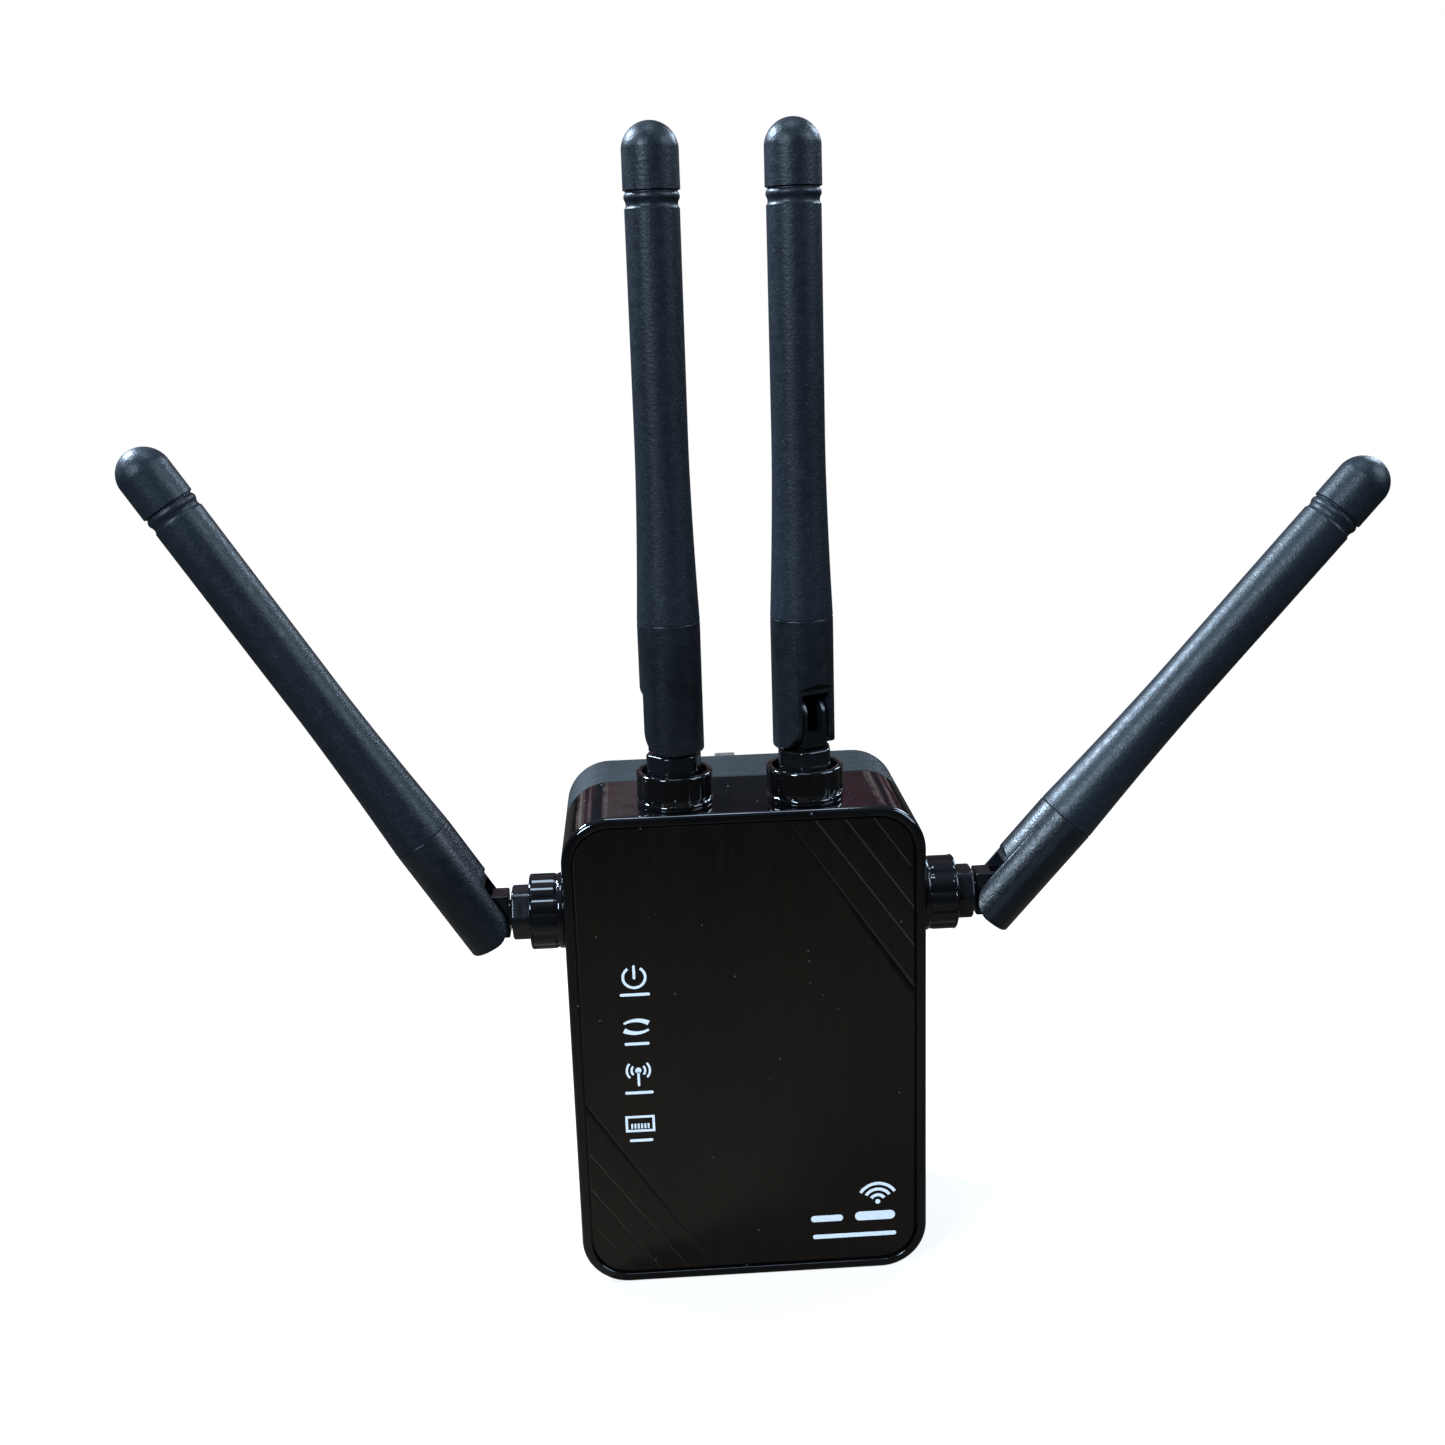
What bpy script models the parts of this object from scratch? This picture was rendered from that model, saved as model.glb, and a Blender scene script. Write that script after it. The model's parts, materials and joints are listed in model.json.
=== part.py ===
"""A wall-plug wifi range extender with four folding antennas, built as separate pieces.

Frame: the origin is on the flat wall face of the rear shell, at the middle of the body.
+Y points into the wall, -Y is the front panel's side, +X is to the right seen from the
front and +Z is up. All lengths are metres.
"""
import math

import bmesh
import bpy
from mathutils import Matrix, Vector

MM = 0.001
GAP = 0.3 * MM  # between pieces that touch
OVERCUT = 1.0 * MM  # how far a cutter runs past the face it opens

# Body
BODY_WIDTH = 60.0 * MM
BODY_HEIGHT = 84.8 * MM
BODY_DEPTH = 36.0 * MM
BODY_CORNER = 8.0 * MM
SEAM_Y = -14.7 * MM
WALL = 2.0 * MM
REAR_WALL = 2.4 * MM
FRONT_EDGE_ROUND = 0.9 * MM
REAR_EDGE_ROUND = 1.2 * MM
RIM_WIDTH = 1.65 * MM
POCKET_DEPTH = 1.6 * MM
PANEL_DROP = 0.5 * MM  # the panel's face lies this far behind the rim
PANEL_THICKNESS = 0.8 * MM
POCKET_FLOOR = 1.6 * MM
POST_X = 22.8 * MM
POST_Z = 35.2 * MM
POST_RADIUS = 2.8 * MM
BOSS_RADIUS = 3.4 * MM

# Antenna sockets, on the front shell
SOCKET_Y = -28.6 * MM
TOP_SOCKET_X = 10.8 * MM
SIDE_SOCKET_Z = 24.4 * MM

# Collar cup, height measured from the face of the body
CUP_RADIUS = 6.35 * MM
CUP_HEIGHT = 5.8 * MM
CUP_WALL = 1.0 * MM
CUP_FLOOR = 1.6 * MM
CUP_FLUTES = 12
FLUTE_DEPTH = 0.4 * MM
SPIGOT_RADIUS = 3.7 * MM
STEM_RADIUS = 2.5 * MM

# Knuckle
HEX_RADIUS = 4.6 * MM
HEX_TOP = 8.8 * MM
NECK_RADIUS = 2.15 * MM
PIVOT_HEIGHT = 14.2 * MM
BLOCK_BOTTOM = 9.3 * MM
BLOCK_HALF_DEPTH = 3.7 * MM
BLOCK_HALF_WIDTH = 2.3 * MM
WINDOW_HALF_WIDTH = 1.4 * MM
STEM_BOTTOM = -4.4 * MM
CLIP_THICKNESS = 0.7 * MM
CLIP_RADIUS = 3.8 * MM
GROOVE_RADIUS = 1.85 * MM
COAX_BORE = 0.8 * MM

# Antenna, lengths measured from the hinge pin along the antenna
BASE_RADIUS = 5.1 * MM
SHAFT_RADIUS = 4.25 * MM
CAP_RADIUS = 4.4 * MM
BASE_END = -5.2 * MM
BASE_SEAM = 16.4 * MM
FLARE_END = 45.0 * MM
SHAFT_END = 80.1 * MM
BEAD_START = 81.3 * MM
BEAD_END = 82.3 * MM
CAP_START = 82.8 * MM
RING_GROOVE_RADIUS = 4.0 * MM
ANTENNA_TIP = 92.9 * MM
SPIGOT_LENGTH = 4.5 * MM
SLOT_HALF_WIDTH = 2.6 * MM
SLOT_TOP = 4.15 * MM
EAR_FLAT = 3.95 * MM  # the ears are cut flat on the folding side
EAR_FLAT_TOP = 4.9 * MM
EAR_ROUND = 4.0 * MM
TRUNNION_RADIUS = 1.0 * MM
TRUNNION_REACH = 3.9 * MM
RADIATOR_END = 80.0 * MM

# Plug pins
LINE_PIN_X = 11.11 * MM
LINE_PIN_Z = 10.6 * MM
LINE_PIN_SIZE = (6.35 * MM, 3.97 * MM)
LINE_PIN_LENGTH = 17.7 * MM
SLEEVE_LENGTH = 9.5 * MM
SLEEVE_WALL = 0.35 * MM
EARTH_PIN_SIZE = (3.97 * MM, 7.92 * MM)
EARTH_PIN_LENGTH = 22.73 * MM
EARTH_PIN_RISE = 22.23 * MM
PIN_TAIL = 12.0 * MM  # inside the body, down to the power board

# Boards, ports and controls
BOARD_THICKNESS = 1.6 * MM
MAIN_BOARD_FRONT = -30.6 * MM
MAIN_BOARD_BOX = (-19.7 * MM, 19.7 * MM, -39.6 * MM, 33.0 * MM)
POWER_BOARD_FRONT = -13.9 * MM
POWER_BOARD_BOX = (-19.0 * MM, 19.0 * MM, -31.0 * MM, 27.0 * MM)
JACK_X = 11.2 * MM
JACK_Y = -22.0 * MM
JACK_SIZE = (15.9 * MM, 13.2 * MM, 17.6 * MM)
JACK_MOUTH = (11.9 * MM, 7.2 * MM, 13.5 * MM)
PORT_PLATE_HALF = 20.9 * MM
ICON_X = -18.95 * MM
ICON_Z = (14.5 * MM, 5.6 * MM, -3.4 * MM, -12.3 * MM)
CONTROL_Y = -24.0 * MM
CONTROL_Z = -8.0 * MM
BUTTON_RADIUS = 3.0 * MM


# --- Scene, materials and mesh helpers -------------------------------------------------


def clear_scene():
    for obj in list(bpy.data.objects):
        bpy.data.objects.remove(obj, do_unlink=True)


def make_material(name, colour, roughness, metallic=0.0):
    material = bpy.data.materials.new(name)
    material.use_nodes = True
    shader = material.node_tree.nodes["Principled BSDF"]
    shader.inputs["Base Color"].default_value = (*colour, 1.0)
    shader.inputs["Roughness"].default_value = roughness
    shader.inputs["Metallic"].default_value = metallic
    return material


def make_materials():
    return {
        "gloss_black": make_material("gloss_black", (0.006, 0.007, 0.009), 0.06),
        "panel_black": make_material("panel_black", (0.010, 0.009, 0.007), 0.12),
        "matte_slate": make_material("matte_slate", (0.030, 0.038, 0.043), 0.55),
        "antenna_plastic": make_material("antenna_plastic", (0.011, 0.014, 0.018), 0.48),
        "antenna_rubber": make_material("antenna_rubber", (0.013, 0.018, 0.023), 0.52),
        "nickel": make_material("nickel", (0.55, 0.54, 0.51), 0.28, 1.0),
        "steel": make_material("steel", (0.45, 0.45, 0.46), 0.30, 1.0),
        "brass": make_material("brass", (0.70, 0.48, 0.20), 0.30, 1.0),
        "board_green": make_material("board_green", (0.02, 0.13, 0.05), 0.45),
        "clear_plastic": make_material("clear_plastic", (0.80, 0.85, 0.88), 0.15),
        "black_plastic": make_material("black_plastic", (0.015, 0.015, 0.016), 0.40),
        "amber_tape": make_material("amber_tape", (0.55, 0.33, 0.05), 0.40),
        "cable_grey": make_material("cable_grey", (0.20, 0.20, 0.21), 0.50),
    }


def add_object(name, bm, material, parent=None):
    """Make an object from a bmesh, in its parent's frame when it has one."""
    bmesh.ops.recalc_face_normals(bm, faces=bm.faces)
    mesh = bpy.data.meshes.new(name)
    bm.to_mesh(mesh)
    bm.free()
    return add_copy(name, mesh, material, parent)


def add_copy(name, mesh, material, parent=None):
    """Make an object that shares a mesh with others of its kind."""
    if not mesh.materials:
        mesh.materials.append(material)
        mesh.shade_smooth()
        mesh.set_sharp_from_angle(angle=math.radians(35))
    obj = bpy.data.objects.new(name, mesh)
    bpy.context.collection.objects.link(obj)
    obj.parent = parent
    return obj


def add_frame(name, matrix, parent=None):
    """Make an empty that carries the pieces which move together."""
    empty = bpy.data.objects.new(name, None)
    bpy.context.collection.objects.link(empty)
    empty.parent = parent
    empty.matrix_local = matrix
    return empty


def to_mesh(bm, name):
    bmesh.ops.recalc_face_normals(bm, faces=bm.faces)
    mesh = bpy.data.meshes.new(name)
    bm.to_mesh(mesh)
    bm.free()
    return mesh


def boolean(base, tool, operation="DIFFERENCE"):
    """Return base with tool taken away from it, or joined to it with UNION."""
    operands = []
    for bm in (base, tool):
        obj = bpy.data.objects.new("operand", to_mesh(bm, "operand"))
        bpy.context.collection.objects.link(obj)
        operands.append(obj)
    modifier = operands[0].modifiers.new("boolean", "BOOLEAN")
    modifier.operation = operation
    modifier.solver = "EXACT"
    modifier.object = operands[1]
    evaluated = operands[0].evaluated_get(bpy.context.evaluated_depsgraph_get())
    result = bmesh.new()
    result.from_mesh(evaluated.to_mesh())
    evaluated.to_mesh_clear()
    for obj in operands:
        mesh = obj.data
        bpy.data.objects.remove(obj)
        bpy.data.meshes.remove(mesh)
    bmesh.ops.remove_doubles(result, verts=result.verts, dist=1e-7)
    return result


def joined(*parts):
    """Put closed bodies that don't meet into one bmesh, to cut with them together."""
    whole = bmesh.new()
    for part in parts:
        mesh = to_mesh(part, "joined")
        whole.from_mesh(mesh)
        bpy.data.meshes.remove(mesh)
    return whole


def loft(loops, closed=False):
    """Bridge loops of equally many points; cap the ends, or close onto the first."""
    bm = bmesh.new()
    rows = [[bm.verts.new(point) for point in loop] for loop in loops]
    count = len(rows[0])
    pairs = list(zip(rows, rows[1:]))
    if closed:
        pairs.append((rows[-1], rows[0]))
    for lower, upper in pairs:
        for i in range(count):
            j = (i + 1) % count
            bm.faces.new((lower[i], lower[j], upper[j], upper[i]))
    if not closed:
        bm.faces.new(list(reversed(rows[0])))
        bm.faces.new(rows[-1])
    return bm


def box(x, y, z):
    """A block between (low, high) pairs along each axis."""
    loops = [
        [(x[0], y[0], level), (x[1], y[0], level), (x[1], y[1], level), (x[0], y[1], level)]
        for level in z
    ]
    return loft(loops)


def circle(radius, z, segments):
    angles = [2 * math.pi * i / segments for i in range(segments)]
    return [(radius * math.cos(a), radius * math.sin(a), z) for a in angles]


def turned(profile, segments, closed=False):
    """A body of revolution about Z from (radius, z) points; closed makes a ring."""
    return loft([circle(radius, z, segments) for radius, z in profile], closed)


def rod(radius, start, end, segments=16):
    """A round bar from one point to another."""
    start, end = Vector(start), Vector(end)
    axis = end - start
    bm = turned([(radius, 0.0), (radius, axis.length)], segments)
    turn = axis.to_track_quat("Z", "Y").to_matrix().to_4x4()
    bmesh.ops.transform(bm, matrix=Matrix.Translation(start) @ turn, verts=bm.verts)
    return bm


def rounded_outline(width, height, radius, steps=6):
    """Points of a rounded rectangle about the origin, as (across, up) pairs."""
    points = []
    corners = ((1, 1, 0), (-1, 1, 90), (-1, -1, 180), (1, -1, 270))
    for sign_x, sign_z, start in corners:
        centre_x = sign_x * (width / 2 - radius)
        centre_z = sign_z * (height / 2 - radius)
        for i in range(steps + 1):
            angle = math.radians(start + 90 * i / steps)
            points.append((centre_x + radius * math.cos(angle), centre_z + radius * math.sin(angle)))
    return points


def plate(width, height, radius, y, steps=6):
    """A rounded rectangular block in the XZ plane between two Y values."""
    outline = rounded_outline(width, height, radius, steps)
    return loft([[(across, level, up) for across, up in outline] for level in sorted(y, reverse=True)])


def body_block(y, inset=0.0, edge_y=None, edge_round=0.0):
    """The body's outline between two Y values, with one end's edge rounded."""
    levels = [(level, inset) for level in y]
    if edge_y is not None:
        levels = [(level, extra) for level, extra in levels if level != edge_y]
        away = 1 if levels[0][0] > edge_y else -1
        for i in range(4):
            angle = math.radians(30 * i)
            depth = edge_round * (1 - math.cos(angle))
            inward = edge_round * (1 - math.sin(angle))
            levels.append((edge_y + away * depth, inset + inward))
    levels.sort(reverse=True)
    loops = []
    for level, extra in levels:
        outline = rounded_outline(BODY_WIDTH - 2 * extra, BODY_HEIGHT - 2 * extra, BODY_CORNER - extra)
        loops.append([(across, level, up) for across, up in outline])
    return loft(loops)


# --- Body ------------------------------------------------------------------------------


def screw_places():
    return [(x, z) for x in (-POST_X, POST_X) for z in (-POST_Z, POST_Z)]


def level(degrees):
    """A level direction, turned from +X."""
    return (math.cos(math.radians(degrees)), math.sin(math.radians(degrees)), 0.0)


def socket_matrices():
    """Each antenna socket's frame: Z out of the body and X to the side it folds to."""
    top = BODY_HEIGHT / 2
    side = BODY_WIDTH / 2
    places = {
        "top_left": ((-TOP_SOCKET_X, SOCKET_Y, top), (0, 0, 1), level(165)),
        "top_right": ((TOP_SOCKET_X, SOCKET_Y, top), (0, 0, 1), level(-64)),
        "left": ((-side, SOCKET_Y, SIDE_SOCKET_Z), (-1, 0, 0), (0, 0, 1)),
        "right": ((side, SOCKET_Y, SIDE_SOCKET_Z), (1, 0, 0), (0, 0, 1)),
    }
    frames = {}
    for name, (face, outward, fold) in places.items():
        z_axis, x_axis = Vector(outward), Vector(fold)
        rotation = Matrix((x_axis, z_axis.cross(x_axis), z_axis)).transposed().to_4x4()
        frames[name] = Matrix.Translation(face) @ rotation
    return frames


FOLD_AT_REST = {"top_left": 0.0, "top_right": 0.0, "left": 58.0, "right": 49.0}


def socket_cutters():
    cutters = []
    for matrix in socket_matrices().values():
        cutter = rod(SPIGOT_RADIUS + GAP, (0, 0, -WALL - OVERCUT), (0, 0, OVERCUT), 24)
        bmesh.ops.transform(cutter, matrix=matrix, verts=cutter.verts)
        cutters.append(cutter)
    return cutters


def icon_windows(clearance):
    half_width = 2.2 * MM + clearance
    half_height = 1.5 * MM + clearance
    back = -BODY_DEPTH + POCKET_DEPTH + POCKET_FLOOR
    return [
        box(
            (ICON_X - half_width, ICON_X + half_width),
            (-BODY_DEPTH + POCKET_DEPTH + clearance - GAP, back + 0.6 * MM),
            (z - half_height, z + half_height),
        )
        for z in ICON_Z
    ]


def front_shell():
    seam = SEAM_Y - GAP / 2
    inner_front = -BODY_DEPTH + POCKET_DEPTH + POCKET_FLOOR
    shell = body_block((-BODY_DEPTH, seam), edge_y=-BODY_DEPTH, edge_round=FRONT_EDGE_ROUND)
    cavity = body_block((inner_front, seam + OVERCUT), inset=WALL)
    shell = boolean(shell, cavity)
    posts = [rod(POST_RADIUS, (x, inner_front - 0.5 * MM, z), (x, seam, z)) for x, z in screw_places()]
    for post in posts:
        shell = boolean(shell, post, "UNION")
    pocket = plate(
        BODY_WIDTH - 2 * RIM_WIDTH,
        BODY_HEIGHT - 2 * RIM_WIDTH,
        BODY_CORNER - RIM_WIDTH,
        (-BODY_DEPTH - OVERCUT, -BODY_DEPTH + POCKET_DEPTH),
    )
    pilots = [rod(1.3 * MM, (x, -27.0 * MM, z), (x, seam + OVERCUT, z), 12) for x, z in screw_places()]
    notch_half = PORT_PLATE_HALF + GAP
    bottom = -BODY_HEIGHT / 2
    notch_z = (bottom - OVERCUT, bottom + WALL + GAP)
    notch = box((-notch_half, notch_half), (inner_front, seam + OVERCUT), notch_z)
    side = BODY_WIDTH / 2
    button_hole = rod(
        BUTTON_RADIUS + GAP,
        (-side - OVERCUT, CONTROL_Y, CONTROL_Z),
        (-side + WALL + OVERCUT, CONTROL_Y, CONTROL_Z),
        20,
    )
    knob_slot = box(
        (side - WALL - OVERCUT, side + OVERCUT),
        (CONTROL_Y - 1.7 * MM, CONTROL_Y + 1.7 * MM),
        (CONTROL_Z - 4.3 * MM, CONTROL_Z + 4.3 * MM),
    )
    windows = icon_windows(GAP)
    return boolean(shell, joined(pocket, notch, button_hole, knob_slot, *pilots, *windows, *socket_cutters()))


def front_panel():
    face = -BODY_DEPTH + PANEL_DROP
    inset = RIM_WIDTH + GAP
    return plate(
        BODY_WIDTH - 2 * inset,
        BODY_HEIGHT - 2 * inset,
        BODY_CORNER - inset,
        (face, face + PANEL_THICKNESS),
    )


def port_plate():
    bottom = -BODY_HEIGHT / 2
    inner_front = -BODY_DEPTH + POCKET_DEPTH + POCKET_FLOOR
    slab = box(
        (-PORT_PLATE_HALF, PORT_PLATE_HALF),
        (inner_front + GAP, SEAM_Y - GAP / 2),
        (bottom, bottom + WALL),
    )
    half_x = JACK_MOUTH[0] / 2 + 0.4 * MM
    half_y = JACK_MOUTH[1] / 2 + 0.9 * MM
    mouths = [
        box(
            (x - half_x, x + half_x),
            (JACK_Y - half_y, JACK_Y + half_y),
            (bottom - OVERCUT, bottom + WALL + OVERCUT),
        )
        for x in (-JACK_X, JACK_X)
    ]
    pinhole = rod(1.1 * MM, (0, JACK_Y, bottom - OVERCUT), (0, JACK_Y, bottom + WALL + OVERCUT), 12)
    return boolean(slab, joined(pinhole, *mouths))


def rear_shell():
    seam = SEAM_Y + GAP / 2
    shell = body_block((seam, 0.0), edge_y=0.0, edge_round=REAR_EDGE_ROUND)
    shell = boolean(shell, body_block((seam - OVERCUT, -REAR_WALL), inset=WALL))
    lip_outer = body_block((seam - 1.8 * MM, seam + 1.5 * MM), inset=WALL + GAP)
    lip = boolean(lip_outer, body_block((seam - 3 * MM, seam + 3 * MM), inset=WALL + GAP + 0.9 * MM))
    foot = body_block((seam, seam + 1.5 * MM), inset=WALL - 0.4 * MM)
    foot = boolean(foot, body_block((seam - 3 * MM, seam + 3 * MM), inset=WALL + GAP + 0.9 * MM))
    below_ports = box((-22 * MM, 22 * MM), (seam - 3 * MM, seam), (-BODY_HEIGHT, -30 * MM))
    lip = boolean(lip, below_ports)
    shell = boolean(boolean(shell, foot, "UNION"), lip, "UNION")
    for x, z in screw_places():
        shell = boolean(shell, rod(BOSS_RADIUS, (x, -REAR_WALL + 0.5 * MM, z), (x, seam, z)), "UNION")
    hole = [(1.5 * MM, seam - 3 * MM), (1.5 * MM, -4.6 * MM), (2.8 * MM, -4.6 * MM), (2.8 * MM, OVERCUT)]
    cutters = [turned_cutter(hole, x, z) for x, z in screw_places()]
    for x in (-LINE_PIN_X, LINE_PIN_X):
        cutters.append(pin_block(x, LINE_PIN_Z, LINE_PIN_SIZE, -REAR_WALL - OVERCUT, OVERCUT, GAP))
    earth_z = LINE_PIN_Z + EARTH_PIN_RISE
    cutters.append(pin_block(0.0, earth_z, EARTH_PIN_SIZE, -REAR_WALL - OVERCUT, OVERCUT, GAP))
    for sign in (-1, 1):
        for i in range(6):
            z = -26 * MM + i * 3.2 * MM
            x = sorted((sign * (BODY_WIDTH / 2 - WALL - OVERCUT), sign * (BODY_WIDTH / 2 + OVERCUT)))
            cutters.append(box(x, (-11.5 * MM, -4.5 * MM), (z - 0.65 * MM, z + 0.65 * MM)))
    return boolean(shell, joined(*cutters))


def turned_cutter(profile, x, z):
    """A stepped round cutter along Y at one screw place, from (radius, y) points."""
    bm = turned(profile, 16)
    turn = Matrix.Rotation(math.radians(-90), 4, "X")
    bmesh.ops.transform(bm, matrix=Matrix.Translation((x, 0, z)) @ turn, verts=bm.verts)
    return bm


def pin_block(x, z, size, y_low, y_high, extra=0.0, lead_in=0.0):
    """A rectangular pin along Y, with an optional tapered lead-in at its far end."""
    half_x, half_z = size[0] / 2 + extra, size[1] / 2 + extra
    levels = [(y_high, lead_in), (y_high - 1.6 * lead_in, 0.0), (y_low, 0.0)]
    if not lead_in:
        levels = levels[1:]
    loops = []
    for y, less in levels:
        a, b = half_x - less, half_z - less
        loops.append([(x - a, y, z - b), (x - a, y, z + b), (x + a, y, z + b), (x + a, y, z - b)])
    return loft(loops)


def line_pin(x):
    """A live or neutral pin, thinner where its insulating sleeve fits."""
    pin = pin_block(x, LINE_PIN_Z, LINE_PIN_SIZE, -PIN_TAIL, LINE_PIN_LENGTH, lead_in=0.9 * MM)
    thin = tuple(side - 2 * (SLEEVE_WALL + GAP) for side in LINE_PIN_SIZE)
    ring = pin_block(x, LINE_PIN_Z, LINE_PIN_SIZE, 0.0, SLEEVE_LENGTH + 2 * GAP, extra=OVERCUT)
    core = pin_block(x, LINE_PIN_Z, thin, -OVERCUT, SLEEVE_LENGTH + OVERCUT)
    return boolean(pin, boolean(ring, core))


def pin_sleeve(x):
    sleeve = pin_block(x, LINE_PIN_Z, LINE_PIN_SIZE, GAP, GAP + SLEEVE_LENGTH)
    bore_size = tuple(side - 2 * SLEEVE_WALL for side in LINE_PIN_SIZE)
    return boolean(sleeve, pin_block(x, LINE_PIN_Z, bore_size, -OVERCUT, SLEEVE_LENGTH + OVERCUT))


def earth_pin():
    z = LINE_PIN_Z + EARTH_PIN_RISE
    return pin_block(0.0, z, EARTH_PIN_SIZE, -PIN_TAIL, EARTH_PIN_LENGTH, lead_in=1.0 * MM)


def case_screw():
    """A pan-head screw along +Y, head outward, with a cross recess."""
    profile = [
        (1.0 * MM, -24.0 * MM),
        (1.0 * MM, -4.9 * MM),
        (2.3 * MM, -4.2 * MM),
        (2.3 * MM, -3.2 * MM),
        (1.8 * MM, -2.8 * MM),
    ]
    screw = turned(profile, 16)
    recess = boolean(
        box((-1.3 * MM, 1.3 * MM), (-0.3 * MM, 0.3 * MM), (-3.6 * MM, 0.0)),
        box((-0.3 * MM, 0.3 * MM), (-1.3 * MM, 1.3 * MM), (-3.6 * MM, 0.0)),
        "UNION",
    )
    screw = boolean(screw, recess)
    turn = Matrix.Rotation(math.radians(-90), 4, "X")
    bmesh.ops.transform(screw, matrix=turn, verts=screw.verts)
    return screw


# --- Inside the body -------------------------------------------------------------------


def board(front, outline):
    x_low, x_high, z_low, z_high = outline
    return box((x_low, x_high), (front, front + BOARD_THICKNESS), (z_low, z_high))


def light_guide():
    """A strip behind the panel's four windows, with one lens block in each."""
    wall_back = -BODY_DEPTH + POCKET_DEPTH + POCKET_FLOOR
    strip = box(
        (ICON_X - 2.6 * MM, ICON_X + 2.6 * MM),
        (wall_back + GAP, wall_back + GAP + 0.8 * MM),
        (ICON_Z[-1] - 3 * MM, ICON_Z[0] + 3 * MM),
    )
    for lens in icon_windows(0.0):
        strip = boolean(strip, lens, "UNION")
    return strip


def status_light(z):
    top = MAIN_BOARD_FRONT - GAP
    return box((ICON_X - 0.7 * MM, ICON_X + 0.7 * MM), (top - 0.45 * MM, top), (z - 0.4 * MM, z + 0.4 * MM))


def jack(x):
    """A modular jack with its mouth down, its latch notch to the rear."""
    back = MAIN_BOARD_FRONT + BOARD_THICKNESS + GAP
    mouth_z = -BODY_HEIGHT / 2 + WALL + GAP
    half = JACK_SIZE[0] / 2
    shell = box((x - half, x + half), (back, back + JACK_SIZE[1]), (mouth_z, mouth_z + JACK_SIZE[2]))
    mouth_half = JACK_MOUTH[0] / 2
    mouth = box(
        (x - mouth_half, x + mouth_half),
        (JACK_Y - JACK_MOUTH[1] / 2, JACK_Y + JACK_MOUTH[1] / 2),
        (mouth_z - OVERCUT, mouth_z + JACK_MOUTH[2]),
    )
    latch = box(
        (x - 3.1 * MM, x + 3.1 * MM),
        (JACK_Y, JACK_Y + JACK_MOUTH[1] / 2 + 1.6 * MM),
        (mouth_z - OVERCUT, mouth_z + JACK_MOUTH[2] - 3 * MM),
    )
    return boolean(shell, boolean(mouth, latch, "UNION"))


def shield_can():
    """A pressed cover over the radio chips, open towards the board."""
    back = MAIN_BOARD_FRONT + BOARD_THICKNESS + GAP
    can = box((-13 * MM, 13 * MM), (back, back + 2.4 * MM), (-6 * MM, 16 * MM))
    inside = box((-12.6 * MM, 12.6 * MM), (back - OVERCUT, back + 2.0 * MM), (-5.6 * MM, 15.6 * MM))
    return boolean(can, inside)


def board_link():
    """The header that carries the low voltage from the power board to the main board."""
    front = MAIN_BOARD_FRONT + BOARD_THICKNESS + GAP
    return box((-5 * MM, 5 * MM), (front, POWER_BOARD_FRONT - GAP), (-13.4 * MM, -10.9 * MM))


def transformer():
    front = POWER_BOARD_FRONT + BOARD_THICKNESS + GAP
    core = box((-7 * MM, 7 * MM), (front, front + 8.2 * MM), (-14 * MM, -5 * MM))
    winding = box((-5 * MM, 5 * MM), (front + 1.2 * MM, front + 7.0 * MM), (-16 * MM, -3 * MM))
    return boolean(core, winding, "UNION")


def mains_capacitor():
    front = POWER_BOARD_FRONT + BOARD_THICKNESS + GAP
    y = front + 3.9 * MM
    return rod(3.9 * MM, (-15 * MM, y, -24 * MM), (0, y, -24 * MM), 20)


def wire(name, points, radius, samples=12):
    """A round wire along a smooth curve through its end points and handles."""
    curve = bpy.data.curves.new(name, "CURVE")
    curve.dimensions = "3D"
    curve.bevel_depth = radius
    curve.bevel_resolution = 2
    curve.use_fill_caps = True
    spline = curve.splines.new("POLY")
    spline.points.add(samples - 1)
    a, b, c, d = points
    for i, point in enumerate(spline.points):
        t = i / (samples - 1)
        place = (1 - t) ** 3 * a + 3 * t * (1 - t) ** 2 * b + 3 * t * t * (1 - t) * c + t**3 * d
        point.co = (*place, 1.0)
    return curve


def antenna_lead(name, matrix):
    """The coaxial lead from an antenna's stem to the back of the main board."""
    board_back = MAIN_BOARD_FRONT + BOARD_THICKNESS
    start = matrix @ Vector((0, 0, STEM_BOTTOM - GAP))
    outward = (matrix.to_3x3() @ Vector((0, 0, 1))).normalized()
    end = start - 11.5 * MM * outward
    end.y = board_back + 0.9 * MM
    handle_in = start - 3.5 * MM * outward + Vector((0, 2.6 * MM, 0))
    handle_out = end + 4.0 * MM * outward + Vector((0, 2.2 * MM, 0))
    return wire(name, (start, handle_in, handle_out, end), 0.55 * MM)


# --- Buttons and the slide switch ------------------------------------------------------


def pairing_button():
    """A round cap held by its flange, with a stem that reaches the switch; axis +X."""
    profile = [
        (1.1 * MM, 7.0 * MM),
        (1.1 * MM, 3.4 * MM),
        (BUTTON_RADIUS + 0.8 * MM, 3.4 * MM),
        (BUTTON_RADIUS + 0.8 * MM, 2.3 * MM),
        (BUTTON_RADIUS, 2.3 * MM),
        (BUTTON_RADIUS, -0.1 * MM),
        (BUTTON_RADIUS - 0.4 * MM, -0.5 * MM),
    ]
    bm = turned(profile, 20)
    bmesh.ops.transform(bm, matrix=Matrix.Rotation(math.radians(90), 4, "Y"), verts=bm.verts)
    return bm


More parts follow.
